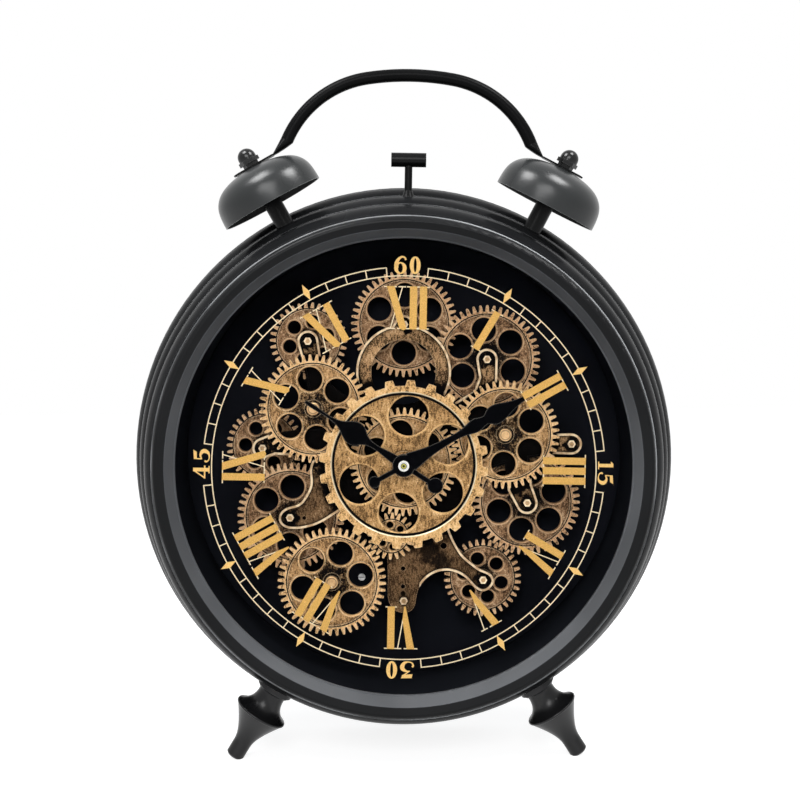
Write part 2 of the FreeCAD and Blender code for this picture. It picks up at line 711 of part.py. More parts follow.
def handle_bow():
    """Bend the tube: a flat arc over the top and a tighter one at each shoulder."""
    top_centre = V(0, TOP_DEPTH, HANDLE_TOP - HANDLE_TOP_R)
    ring = Part.Face(flat_oval(V(0, TOP_DEPTH, HANDLE_TOP), (1.0, 0.0), HANDLE_TUBE_R, HANDLE_TUBE_R))
    ring.rotate(top_centre, V(0, 1, 0), -HANDLE_TOP_HALF)
    pieces = [ring.revolve(top_centre, V(0, 1, 0), 2 * HANDLE_TOP_HALF)]
    for side in (-1, 1):
        bend_centre = handle_bend_centre(side)
        ring = Part.Face(flat_oval(bend_centre + V(0, 0, HANDLE_BEND_R), (1.0, 0.0),
                                   HANDLE_TUBE_R, HANDLE_TUBE_R))
        ring.rotate(bend_centre, V(0, 1, 0), side * HANDLE_TOP_HALF)
        pieces.append(ring.revolve(bend_centre, V(0, 1, 0), side * (HANDLE_END - HANDLE_TOP_HALF)))
    return pieces


def handle_bend_centre(side):
    reach = HANDLE_TOP_R - HANDLE_BEND_R
    half = math.radians(HANDLE_TOP_HALF)
    return V(side * reach * math.sin(half), TOP_DEPTH,
             HANDLE_TOP - HANDLE_TOP_R + reach * math.cos(half))


def carry_handle():
    """Bend the tube, flatten its ends to the strips that lie on the bells."""
    end_angle = math.radians(HANDLE_END)
    strip_low = BELL_APEX + WASHER_T
    stud_hole = Part.makeCylinder(STUD_R, STRIP_T * 3, V(0, 0, BELL_APEX))
    pieces = handle_bow()
    for stack in BELL_STACKS:
        side = stack[0]
        tube_run = (side * math.cos(end_angle), -math.sin(end_angle))
        tube_end = handle_bend_centre(side) + V(side * HANDLE_BEND_R * math.sin(end_angle), 0,
                                                HANDLE_BEND_R * math.cos(end_angle))
        flat_oval_end = flat_oval(V(-side * STRIP_IN, 0, strip_low + STRIP_T / 2), (side, 0.0),
                                  STRIP_W / 2, STRIP_T / 2)
        strip_end = set_on_stack(flat_oval_end, stack)
        strip_centre = strip_end.BoundBox.Center
        midway = (tube_end + strip_centre) * 0.5
        strip_tilt = math.radians(stack[2] + stack[3])
        mid_run = ((tube_run[0] + side * math.cos(strip_tilt)) / 2,
                   (tube_run[1] - math.sin(strip_tilt)) / 2)
        sections = [
            flat_oval(tube_end, tube_run, HANDLE_TUBE_R, HANDLE_TUBE_R),
            flat_oval(midway, mid_run, *HANDLE_NECK),
            strip_end,
        ]
        pieces.append(Part.makeLoft(sections, True, False))
        flat = Part.makeBox(STRIP_IN + STRIP_OUT, STRIP_W, STRIP_T,
                            V(-STRIP_IN, -STRIP_W / 2, strip_low))
        end = Part.makeCylinder(STRIP_W / 2, STRIP_T, V(STRIP_OUT, 0, strip_low))
        strip = fuse([flat, end]).cut(stud_hole)
        if side < 0:
            strip.rotate(V(0, 0, 0), V(0, 0, 1), 180)
        pieces.append(set_on_stack(strip, stack))
    return fuse(pieces)


def foot():
    """Turn one foot about Z, from the drum downwards, standing upright."""
    s = FOOT_START
    steps = [
        (10.9, s + 3.4),
        ("curve", [(10.8, s + 8.0), (12.0, s + 13.0), (15.2, s + 17.6), (20.0, s + 20.7)]),
        ("arc", (20.7, s + 21.8), (19.8, s + 22.9)),
        ("curve", [(14.7, s + 30.8), (10.2, s + 38.8), (7.6, s + 45.6), (7.0, s + 50.0)]),
        (7.0, FOOT_END - 1.2),
        (5.8, FOOT_END),
        (0.0, FOOT_END),
        (0.0, s - 4.0),
    ]
    return turned_upright((10.9, s - 4.0), steps)


def foot_collar():
    s = FOOT_START
    steps = [(14.4, s + 1.6), (12.8, s + 2.6), (12.4, s + 3.4), (10.9, s + 3.4), (10.9, s - 6.0)]
    return turned_upright((14.4, s - 6.0), steps)


def rear_leg():
    """Bend a strip: screwed flat to the rear flange, then out and down to a toe on the floor."""
    back = DRUM_REAR
    toe = -FLOOR_DROP - LEG_SPARE
    side = [
        (back, LEG_TOP_Z), (back + LEG_T, LEG_TOP_Z), (back + LEG_T, LEG_BEND_Z),
        (LEG_DEPTH - LEG_TOE + LEG_T, toe + LEG_T * 1.5), (LEG_DEPTH, toe + LEG_T),
        (LEG_DEPTH, toe), (LEG_DEPTH - LEG_TOE, toe), (back, LEG_BEND_Z - LEG_T),
    ]
    points = [V(-LEG_W / 2, depth, z) for depth, z in side]
    leg = Part.Face(Part.makePolygon(points + points[:1])).extrude(V(LEG_W, 0, 0))
    holes = [cylinder(x, LEG_SCREW_Z, SCREW_R, back - 1, back + LEG_T + 1) for x in LEG_SCREW_X]
    return leg.cut(holes)


def pan_screw(x, z, seat, tip):
    """Return a pan-head screw driven from behind, its head's underside on the seat."""
    top = seat + SCREW_HEAD_T
    head = cylinder(x, z, SCREW_HEAD_R, seat, top)
    slot = block((x - SCREW_HEAD_R - 1, x + SCREW_HEAD_R + 1), (top - SCREW_SLOT_DEPTH, top + 1),
                 (z - SCREW_SLOT_W / 2, z + SCREW_SLOT_W / 2))
    return fuse([head, cylinder(x, z, SCREW_R, tip, seat)]).cut(slot)


def dial_screw():
    """Return the pan-head screw that shows on the dial plate's front."""
    x, z = DIAL_SCREW
    head_r, head_t = DIAL_SCREW_HEAD
    slot_w, slot_depth = DIAL_SCREW_SLOT
    front = PLATE_FRONT - head_t
    head = cylinder(x, z, head_r, front, PLATE_FRONT)
    slot = block((x - head_r - 1, x + head_r + 1), (front - 1, front + slot_depth),
                 (z - slot_w / 2, z + slot_w / 2))
    return fuse([head, cylinder(x, z, DIAL_SCREW_R, PLATE_FRONT, DIAL_SCREW_TIP)]).cut(slot)


# Boxes behind the dial plate

def open_box(x_range, z_range):
    """Return a box with its front wall on the dial plate, open at the rear."""
    outer = block(x_range, (PLATE_BACK, BOX_COVER_FRONT), z_range)
    inner = block((x_range[0] + BOX_WALL, x_range[1] - BOX_WALL),
                  (PLATE_BACK + BOX_WALL, BOX_COVER_FRONT + 1),
                  (z_range[0] + BOX_WALL, z_range[1] - BOX_WALL))
    return outer.cut(inner)


def lid(x_range, z_range):
    return block(x_range, (BOX_COVER_FRONT, BOX_BACK), z_range)


def cell(x, z):
    """Return one round cell lying along X, its button to the right."""
    depth = PLATE_BACK + BOX_WALL + CELL_R + 0.1
    length = CELL_LENGTH - CELL_NUB
    start = x - CELL_LENGTH / 2
    body = Part.makeCylinder(CELL_R, length, V(start, depth, z), V(1, 0, 0))
    nub = Part.makeCylinder(CELL_NUB_R, CELL_NUB, V(start + length, depth, z), V(1, 0, 0))
    return fuse([body, nub])


def small_gear(teeth, module, phase, near, far):
    """Cut a plain movement gear about its own centre."""
    pitch_r = module * teeth / 2
    half = 0.56 * module
    return toothed_disc(teeth, pitch_r + 0.7 * module, pitch_r - 1.1 * module, half * 1.25,
                        half * 0.62, 0.2 * module, phase, near, far - near)


def build():
    drum_core = drum_block()
    drive_x, drive_z = TRAIN["drive_pinion"][0]
    cap_names = ("right_wheel", "left_wheel", "lower_left_wheel")
    wheel_posts = [TRAIN[name][0] for name in cap_names]
    ear_wheels = [name for name in TRAIN if TRAIN[name][2] in (THIRD_LAYER, REAR_LAYER)]
    pillars = [(1.8, -109.9), (131.0, 15.5)]
    ear_posts = [TRAIN[name][0] for name in ear_wheels] + pillars

    # Case
    drum = case_drum()
    spacers = [polar(SPACER_CIRCLE, 360.0 * k / SPACER_COUNT) for k in range(SPACER_COUNT)]
    leg_screws = [(x, LEG_SCREW_Z) for x in LEG_SCREW_X]
    screw_holes = [cylinder(x, z, SCREW_R, *REAR_CUT) for x, z in spacers + leg_screws]
    save("case_drum", drum.cut(screw_holes))
    save("front_bezel", front_bezel())
    save("front_glass", cylinder(0, 0, GLASS_R, GLASS_FRONT, GLASS_FRONT + GLASS_T))
    gasket_front = GLASS_FRONT + GLASS_T
    save("glass_gasket", tube(0, 0, GLASS_R, GASKET_R, gasket_front, gasket_front + GASKET_T))
    save("inner_liner", inner_liner())
    plate = cylinder(0, 0, PLATE_R, PLATE_FRONT, PLATE_BACK)
    plate_holes = [cylinder(x, z, SCREW_R, *PLATE_CUT) for x, z in spacers]
    plate_holes.append(cylinder(0, 0, SLEEVE_R, *PLATE_CUT))
    plate_holes.append(cylinder(drive_x, drive_z, POST_R + RUNNING, *PLATE_CUT))
    plate_holes.append(cylinder(*DIAL_SCREW, DIAL_SCREW_R, *PLATE_CUT))
    save("dial_plate", plate.cut(plate_holes))
    save("dial_screw", dial_screw())
    save("plate_spacers", *[tube(x, z, SPACER_R, SCREW_R, PLATE_BACK, DRUM_REAR - SHEET)
                            for x, z in spacers])
    rear_screws = [pan_screw(x, z, DRUM_REAR, PLATE_FRONT) for x, z in spacers]
    rear_screws += [pan_screw(x, z, DRUM_REAR + LEG_T, DRUM_REAR - SHEET) for x, z in leg_screws]
    save("rear_screws", *rear_screws)

    # Train
    phases = tooth_phases()
    for name in TRAIN:
        bore = {"centre_wheel": CENTRE_TUBE_R, "drive_pinion": POST_R}.get(name, POST_R + RUNNING)
        x, z = TRAIN[name][0]
        save(name, shifted(wheel(name, phases[name], bore), x, z))
    save("main_gear", main_gear())
    save("bridge_plate", bridge_plate(ear_posts, wheel_posts))
    posts = []
    for x, z in ear_posts:
        shank = cylinder(x, z, POST_R, BRIDGE_BACK, PLATE_FRONT)
        posts.append(fuse([shank, cylinder(x, z, THREAD_R, THREAD_FRONT, BRIDGE_BACK)]))
    save("ear_posts", *posts)
    nuts = [hexagon(x, z, NUT_AF, BRIDGE_FRONT - NUT_T, BRIDGE_FRONT) for x, z in ear_posts]
    nuts = [nut.cut(cylinder(x, z, THREAD_R, *BRIDGE_CUT)) for nut, (x, z) in zip(nuts, ear_posts)]
    save("ear_nuts", *nuts)
    save("wheel_posts", *[cylinder(x, z, POST_R, POST_FRONT, PLATE_FRONT) for x, z in wheel_posts])
    caps = []
    for x, z in wheel_posts:
        cap = cylinder(x, z, CAP_R, CAP_FRONT, POST_FRONT)
        rim = [edge for edge in cap.Edges if abs(edge.BoundBox.YMax - CAP_FRONT) < 0.01]
        caps.append(cap.makeFillet(CAP_ROUND, rim))
    caps.append(tube(0, 0, CENTRE_TUBE_R, SLEEVE_R, SLEEVE_FRONT, SLEEVE_FRONT + SLEEVE_CAP_T))
    save("post_caps", *caps)
    tubes = []
    for name, (centre, _, near, _) in TRAIN.items():
        if name not in ("centre_wheel", "drive_pinion"):
            start = near + WHEEL_T + END_PLAY
            tubes.append(tube(*centre, SPACER_TUBE_R, POST_R, start, PLATE_FRONT))
    save("wheel_spacers", *tubes)

    # Centre
    sleeve = fuse([
        cylinder(0, 0, SLEEVE_R, SLEEVE_FRONT, PLATE_BACK + BOX_WALL),
        cylinder(0, 0, *SLEEVE_COLLAR),
        cylinder(0, 0, SLEEVE_FLANGE_R, PLATE_FRONT - SLEEVE_FLANGE_T, PLATE_FRONT),
    ])
    save("centre_sleeve", sleeve.cut(cylinder(0, 0, SLEEVE_BORE_R, SLEEVE_FRONT - 1, BOX_BACK)))
    save("centre_tube", tube(0, 0, CENTRE_TUBE_R, SLEEVE_R + RUNNING, *CENTRE_TUBE_DEPTHS))

    # Motion work in the movement
    upward = 90.0
    pinion_phase = mesh_phase(upward, 0.0, HOUR_WHEEL_TEETH, HOUR_PINION_TEETH)
    minute_wheel_phase = mesh_phase(upward, 0.0, CANNON_TEETH, MINUTE_WHEEL_TEETH)
    hour = fuse([cylinder(0, 0, HOUR_TUBE_R, 17.4, 87.6),
                 small_gear(HOUR_WHEEL_TEETH, HOUR_MODULE, 0.0, 85.0, 87.0)])
    save("hour_tube", hour.cut(cylinder(0, 0, MINUTE_ARBOR_R + RUNNING, 10, 90)))
    save("minute_arbor", fuse([
        cylinder(0, 0, MINUTE_ARBOR_R, MINUTE_HAND[1], 95.5),
        cylinder(0, 0, MINUTE_NOSE_R, 12.6, MINUTE_HAND[1]),
        small_gear(CANNON_TEETH, SMALL_MODULE, 0.0, 90.5, 93.5),
    ]))
    minute_wheel = fuse([
        cylinder(0, 0, SMALL_AXLE_R, 83.6, KNOB_DEPTHS[1]),
        small_gear(MINUTE_WHEEL_TEETH, SMALL_MODULE, minute_wheel_phase, 91.2, 92.6),
        small_gear(HOUR_PINION_TEETH, HOUR_MODULE, pinion_phase, 84.4, 88.0),
    ])
    save("minute_wheel", shifted(minute_wheel, 0, MINUTE_WHEEL_Z))
    knob = tube(0, MINUTE_WHEEL_Z, KNOB_R, SMALL_AXLE_R, *KNOB_DEPTHS)
    grips = []
    for k in range(KNOB_GRIPS):
        x, z = polar(KNOB_R + 0.5, 360.0 * k / KNOB_GRIPS)
        grips.append(cylinder(x, z + MINUTE_WHEEL_Z, 1.0, KNOB_DEPTHS[0] - 1, KNOB_DEPTHS[1] + 1))
    save("set_knob", knob.cut(grips))
    save("minute_hand", hand(MINUTE_SHAPE, MINUTE_TAIL, MINUTE_NOSE_R, MINUTE_HAND, MINUTE_ANGLE))
    save("hour_hand", hand(HOUR_SHAPE, HOUR_TAIL, HOUR_TUBE_R, HOUR_HAND, HOUR_ANGLE))
    nut = fuse([cylinder(0, 0, 4.1, 12.9, MINUTE_HAND[0]), cylinder(0, 0, 3.0, 12.3, 12.9)])
    save("hand_nut", nut.cut(cylinder(0, 0, MINUTE_NOSE_R, 12.6, 20)))

    # Movement case, drive box and battery tray
    case = open_box(MOVEMENT_X, MOVEMENT_Z)
    save("movement_case", case.cut(cylinder(0, 0, SLEEVE_R, *PLATE_CUT)))
    cover = lid(MOVEMENT_X, MOVEMENT_Z)
    axle_hole = cylinder(0, MINUTE_WHEEL_Z, SMALL_AXLE_R + RUNNING, *REAR_CUT)
    save("movement_cover", cover.cut(axle_hole))
    box = open_box(DRIVE_X, DRIVE_Z)
    save("drive_case", box.cut(cylinder(drive_x, drive_z, POST_R + RUNNING, *PLATE_CUT)))
    slot_half = SWITCH_HALF + SLOT_GAP
    slot = block((SWITCH_X[0] - SLOT_GAP, SWITCH_X[1] + SWITCH_TRAVEL + SLOT_GAP), REAR_CUT,
                 (SWITCH_Z - slot_half, SWITCH_Z + slot_half))
    save("drive_cover", lid(DRIVE_X, DRIVE_Z).cut(slot))
    stem = block(SWITCH_X, (SWITCH_FOOT_DEPTHS[0], BOX_BACK + SWITCH_PROUD),
                 (SWITCH_Z - SWITCH_HALF, SWITCH_Z + SWITCH_HALF))
    foot_plate = block((SWITCH_X[0] - SWITCH_FOOT, SWITCH_X[1] + SWITCH_FOOT), SWITCH_FOOT_DEPTHS,
                       (SWITCH_Z - SWITCH_FOOT, SWITCH_Z + SWITCH_FOOT))
    save("switch_slider", fuse([stem, foot_plate]))
    motor_x = drive_x + MOTOR_OFFSET
    motor = cylinder(motor_x, drive_z, MOTOR_R, MOTOR_FRONT, BOX_COVER_FRONT)
    bore = cylinder(motor_x, drive_z, SMALL_AXLE_R + RUNNING, MOTOR_FRONT - 1, MOTOR_BORE_BACK)
    save("drive_motor", motor.cut(bore))
    motor_phase = mesh_phase(0.0, 0.0, DRIVE_TEETH, MOTOR_TEETH)
    pinion = fuse([small_gear(MOTOR_TEETH, SMALL_MODULE, motor_phase, 84.2, 88.0),
                   cylinder(0, 0, SMALL_AXLE_R, 88.0, 93.5)])
    save("motor_pinion", shifted(pinion, motor_x, drive_z))
    shaft = fuse([cylinder(0, 0, POST_R, POST_FRONT, 95.0),
                  small_gear(DRIVE_TEETH, SMALL_MODULE, 0.0, 84.6, 87.6)])
    save("drive_shaft", shifted(shaft, drive_x, drive_z))
    save("battery_tray", open_box(TRAY_X, TRAY_Z))
    save("battery_door", lid(TRAY_X, TRAY_Z))
    tray_mid = (TRAY_Z[0] + TRAY_Z[1]) / 2
    cell_heights = (MOVEMENT_CELL_Z, tray_mid - CELL_HALF_GAP, tray_mid + CELL_HALF_GAP)
    save("battery_cells", *[cell(0, z) for z in cell_heights])

    # Bells, handle and hammer
    shell = bell()
    stem_top = BELL_APEX - BELL_WALL - SEAT_GAP
    stem = fuse([Part.makeCylinder(STEM_R, stem_top - ROOT, V(0, 0, ROOT)),
                 Part.makeCylinder(STUD_R, 10.0, V(0, 0, stem_top))])
    stud_hole = Part.makeCylinder(STUD_R, 20.0, V(0, 0, BELL_APEX - 1))
    washer = Part.makeCylinder(WASHER_R, WASHER_T, V(0, 0, BELL_APEX)).cut(stud_hole)
    acorn_low = STRIP_TOP + LOCK_NUT_T
    lock_nut = upright_hexagon(LOCK_NUT_AF, STRIP_TOP, acorn_low).cut(stud_hole)
    stems, nuts, acorns = [], [], []
    for stack in BELL_STACKS:
        save(stack[1] + "_bell", set_on_stack(shell, stack))
        stems.append(set_on_stack(stem, stack).cut(drum_core))
        nuts += [set_on_stack(washer, stack), set_on_stack(lock_nut, stack)]
        acorns.append(set_on_stack(acorn_nut(acorn_low), stack))
    save("bell_stems", *stems)
    save("bell_nuts", *nuts)
    save("acorn_nuts", *acorns)
    save("carry_handle", carry_handle())
    rod = Part.makeCylinder(HAMMER_ROD_R, HAMMER_Z - ROOT, V(0, TOP_DEPTH, ROOT))
    weld = Part.makeCone(WELD_R, HAMMER_ROD_R, WELD_HEIGHT, V(0, TOP_DEPTH, WELD_LOW))
    head = Part.makeCylinder(HAMMER_R, HAMMER_LENGTH,
                             V(-HAMMER_LENGTH / 2, TOP_DEPTH, HAMMER_Z), V(1, 0, 0))
    save("hammer_rod", fuse([rod, weld]).cut(drum_core).cut(head))
    save("hammer_head", head)

    # Feet
    floor_block = Part.makeBox(800, 400, 100, V(-400, -100, -FLOOR_DROP - 100))
    collars = []
    for side, name in ((-1, "left"), (1, "right")):
        angle = side * (180.0 - FOOT_ANGLE)
        lean = -side * FOOT_LEAN
        leg = set_leaning(foot(), angle, FOOT_DEPTH, lean).cut(drum_core).cut(floor_block)
        save(name + "_foot", leg, lean=0.0)
        collars.append(set_leaning(foot_collar(), angle, FOOT_DEPTH, lean).cut(drum_core))
    save("foot_collars", *collars, lean=0.0)
    leg = rear_leg()
    leg.rotate(V(0, 0, 0), V(0, 1, 0), BODY_LEAN)
    save("rear_leg", leg.cut(floor_block), lean=0.0)


build()
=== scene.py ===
import math

import bmesh
import bpy
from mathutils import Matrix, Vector


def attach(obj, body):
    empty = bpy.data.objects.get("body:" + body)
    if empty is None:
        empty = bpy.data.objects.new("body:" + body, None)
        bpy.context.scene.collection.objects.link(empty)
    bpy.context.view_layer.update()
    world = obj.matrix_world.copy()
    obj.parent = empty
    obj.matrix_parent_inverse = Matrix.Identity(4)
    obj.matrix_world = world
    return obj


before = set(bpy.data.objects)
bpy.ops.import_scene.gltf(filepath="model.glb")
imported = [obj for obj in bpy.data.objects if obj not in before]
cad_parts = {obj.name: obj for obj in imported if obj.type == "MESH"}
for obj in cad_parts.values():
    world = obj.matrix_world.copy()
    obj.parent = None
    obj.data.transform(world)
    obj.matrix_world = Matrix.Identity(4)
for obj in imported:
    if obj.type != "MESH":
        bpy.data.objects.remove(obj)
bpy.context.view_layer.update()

# Places below are in millimetres about the dial axis: x to the right, depth behind the
# bezel's edge plane, z up. The model's own frame is lower and centred in depth.
MID_DEPTH = 72.5
AXIS_HEIGHT = 226.0
# The clock's body leans a little to the right over its feet
BODY_LEAN = math.radians(1.55)


def place(x, depth, z):
    return Vector((x, depth - MID_DEPTH, z + AXIS_HEIGHT)) / 1000.0


def on_body(x, depth, z):
    """Return the place of a point drawn on the upright body, once the body leans."""
    across = x * math.cos(BODY_LEAN) + z * math.sin(BODY_LEAN)
    up = z * math.cos(BODY_LEAN) - x * math.sin(BODY_LEAN)
    return place(across, depth, up)


def polar(radius, angle):
    """Return x and z at an angle counted anticlockwise from the right."""
    turn = math.radians(angle)
    return radius * math.cos(turn), radius * math.sin(turn)


AXIS = place(0, 0, 0)


# Node helpers

def add(tree, kind, inputs=None, **settings):
    made = tree.nodes.new("ShaderNode" + kind)
    for key, value in settings.items():
        setattr(made, key, value)
    for key, value in (inputs or {}).items():
        if isinstance(value, bpy.types.NodeSocket):
            tree.links.new(value, made.inputs[key])
        else:
            made.inputs[key].default_value = value
    return made


def calc(tree, operation, first, second=0.0):
    return add(tree, "Math", {0: first, 1: second}, operation=operation).outputs[0]


def mix(tree, factor, first, second, blend="MIX"):
    made = add(tree, "Mix", {0: factor, 6: first, 7: second}, data_type="RGBA", blend_type=blend)
    return made.outputs[2]


def fade(tree, value, low, high, start=0.0, end=1.0):
    made = add(tree, "MapRange", {"Value": value, "From Min": low, "From Max": high,
                                  "To Min": start, "To Max": end}, interpolation_type="SMOOTHSTEP")
    return made.outputs[0]


def noise(tree, point, scale, detail=3.0, roughness=0.6):
    made = add(tree, "TexNoise", {"Vector": point, "Scale": scale, "Detail": detail,
                                  "Roughness": roughness})
    return made.outputs[0]


def object_point(tree):
    return add(tree, "TexCoord").outputs["Object"]


def distance_from(tree, point, centre):
    """Return the distance in metres from a line through the centre along the depth."""
    apart = add(tree, "VectorMath", {0: point, 1: centre}, operation="SUBTRACT").outputs[0]
    flat = add(tree, "VectorMath", {0: apart, 1: (1.0, 0.0, 1.0)}, operation="MULTIPLY").outputs[0]
    return add(tree, "VectorMath", {0: flat}, operation="LENGTH").outputs["Value"]


def edge_mask(tree, radius, low, high):
    """Return 1 at worn edges, found where a rounded normal leaves the real one."""
    soft = add(tree, "Bevel", {"Radius": radius}, samples=4).outputs[0]
    real = add(tree, "NewGeometry").outputs["Normal"]
    agree = add(tree, "VectorMath", {0: soft, 1: real}, operation="DOT_PRODUCT").outputs["Value"]
    return fade(tree, agree, 1.0 - low, 1.0 - high)


def new_group(name, inputs, outputs):
    tree = bpy.data.node_groups.new(name, "ShaderNodeTree")
    for label, kind, value in inputs:
        made = tree.interface.new_socket(label, in_out="INPUT", socket_type="NodeSocket" + kind)
        made.default_value = value
    for label, kind in outputs:
        tree.interface.new_socket(label, in_out="OUTPUT", socket_type="NodeSocket" + kind)
    return tree, tree.nodes.new("NodeGroupInput").outputs


def close_group(tree, **results):
    end = tree.nodes.new("NodeGroupOutput")
    for label, value in results.items():
        tree.links.new(value, end.inputs[label])
    return tree


def new_material(name):
    material = bpy.data.materials.new(name)
    material.use_nodes = True
    material.node_tree.nodes.clear()
    return material, material.node_tree


def place_group(tree, group, **values):
    made = tree.nodes.new("ShaderNodeGroup")
    made.node_tree = group
    for label, value in values.items():
        if isinstance(value, bpy.types.NodeSocket):
            tree.links.new(value, made.inputs[label])
        else:
            made.inputs[label].default_value = value
    return made.outputs


def surface(tree, inputs, height=None, skin=None):
    """Give the material its own shader, with a bump where a height and its skin are given.

    A skin is the bump's strength and its depth in metres.
    """
    if height is not None:
        strength, distance = skin
        bump = add(tree, "Bump", {"Strength": strength, "Distance": distance, "Height": height})
        inputs = {**inputs, "Normal": bump.outputs[0]}
    shader = add(tree, "BsdfPrincipled", inputs)
    output = tree.nodes.new("ShaderNodeOutputMaterial")
    tree.links.new(shader.outputs[0], output.inputs[0])


# Antique bronze: brown streaks, rubbed rim and window edges, black dirt, painted shade at the hub,
# in corners and in the groove, and a painted highlight along the window edges

# Black for the bronze's dirt, and for painted shade and painted shadow
BLACK_DIRT_AND_SHADE = (0.0035, 0.003, 0.003, 1)


def window_distance(tree, point, away, given):
    """Return how far a point lies outside the nearest of the wheel's six windows."""
    apart = add(tree, "VectorMath", {0: point, 1: given["Centre"]}, operation="SUBTRACT").outputs[0]
    parts = add(tree, "SeparateXYZ", {0: apart}).outputs
    angle = calc(tree, "SUBTRACT", calc(tree, "ARCTAN2", parts[2], parts[0]), given["Phase"])
    folded = calc(tree, "COSINE", calc(tree, "PINGPONG", angle, math.radians(30.0)))
    squares = calc(tree, "ADD", calc(tree, "MULTIPLY", away, away),
                   calc(tree, "MULTIPLY", given["Circle"], given["Circle"]))
    across = calc(tree, "MULTIPLY", calc(tree, "MULTIPLY", away, given["Circle"]), folded)
    square = calc(tree, "SUBTRACT", squares, calc(tree, "MULTIPLY", across, 2.0))
    to_middle = calc(tree, "SQRT", calc(tree, "MAXIMUM", square, 0.0))
    return calc(tree, "SUBTRACT", to_middle, given["Window"])


def bronze_group():
    tree, given = new_group("antique_bronze", (
        ("Centre", "Vector", (0.0, 0.0, 0.0)), ("Reach", "Float", 0.04), ("Groove", "Float", 1.0),
        ("Groove half", "Float", 0.0005), ("Circle", "Float", 0.023), ("Window", "Float", -1.0),
        ("Phase", "Float", 0.0), ("Collar", "Float", 0.0018),
        ("Base", "Color", (0.5, 0.3, 0.12, 1)),
        ("Light", "Color", (0.7, 0.4, 0.18, 1)), ("Speck", "Color", (0.1, 0.06, 0.03, 1)),
        ("Worn", "Color", (1.0, 0.78, 0.5, 1)), ("Amount", "Float", 0.0), ("Hub", "Float", 0.5),
        ("Corner", "Float", 0.006), ("Shut", "Float", 0.4), ("Open", "Float", 0.8)),
        (("Colour", "Color"), ("Roughness", "Float"), ("Height", "Float")))
    point = object_point(tree)
    away = distance_from(tree, point, given["Centre"])
    share = calc(tree, "DIVIDE", away, given["Reach"])
    outside = window_distance(tree, point, away, given)
    past_collar = calc(tree, "SUBTRACT", outside, given["Collar"])
    collar = fade(tree, past_collar, -0.0005, 0.0005, 0.9, 0.0)
    rim = calc(tree, "GREATER_THAN", away, given["Groove"])
    wear_and_highlight = calc(tree, "MAXIMUM", collar, rim)
    brushed = add(tree, "Mapping", {"Vector": point, "Rotation": (0.0, 0.9, 0.0),
                                    "Scale": (1.0, 1.0, 0.4)}).outputs[0]
    cloud = noise(tree, point, 90.0, 2.0, 0.5)
    streak = noise(tree, brushed, 620.0, 3.0, 0.65)
    grain = noise(tree, point, 1000.0, 2.0, 0.6)
    both = calc(tree, "MULTIPLY", calc(tree, "ADD", streak, grain), 0.5)
    uneven = calc(tree, "ADD", both, fade(tree, cloud, 0.3, 0.7, -0.06, 0.06))
    dirt = calc(tree, "ADD", uneven, given["Amount"])
    dirt = calc(tree, "SUBTRACT", dirt, calc(tree, "MULTIPLY", wear_and_highlight, 0.06))
    colour = mix(tree, wear_and_highlight, given["Base"], given["Light"])
    colour = mix(tree, fade(tree, dirt, 0.45, 0.36, 0.0, 0.55), colour, given["Worn"])
    speckled = fade(tree, dirt, 0.48, 0.60, 0.0, 0.9)
    colour = mix(tree, speckled, colour, given["Speck"])
    # Painted shade darkens the face towards the hub, on top of the real dirt
    hub_shade_mask = calc(tree, "MULTIPLY", fade(tree, share, 0.15, 0.75, 0.38, 0.0), given["Hub"])
    dirt_and_hub_shade = fade(tree, calc(tree, "ADD", dirt, hub_shade_mask), 0.56, 0.88)
    colour = mix(tree, dirt_and_hub_shade, colour, BLACK_DIRT_AND_SHADE)
    # A light line along each window's edge: rubbed metal with a painted highlight
    line = fade(tree, outside, 0.0004, 0.0009, 0.8, 0.0)
    colour = mix(tree, line, colour, given["Light"])
    edge = edge_mask(tree, 0.0008, 0.02, 0.2)
    worn = calc(tree, "MULTIPLY", edge, fade(tree, grain, 0.62, 0.5, 0.3, 0.9))
    colour = mix(tree, worn, colour, given["Worn"])
    # Painted shade: the groove is drawn black
    to_groove = calc(tree, "ABSOLUTE", calc(tree, "SUBTRACT", away, given["Groove"]))
    groove_shade = calc(tree, "LESS_THAN", to_groove, given["Groove half"])
    colour = mix(tree, groove_shade, colour, BLACK_DIRT_AND_SHADE)
    # Painted shade: hidden corners and the parts under other wheels are drawn black
    hidden = add(tree, "AmbientOcclusion", {"Distance": given["Corner"]}, samples=6).outputs["AO"]
    corner_shade = fade(tree, hidden, given["Shut"], given["Open"], 0.95, 0.0)
    colour = mix(tree, corner_shade, colour, BLACK_DIRT_AND_SHADE)
    rough = fade(tree, speckled, 0.0, 0.9, 0.36, 0.6)
    return close_group(tree, Colour=colour, Roughness=rough, Height=both)


# Satin paint: one colour with a fine skin, a lighter line where an edge catches light, and painted
# shade in hidden corners

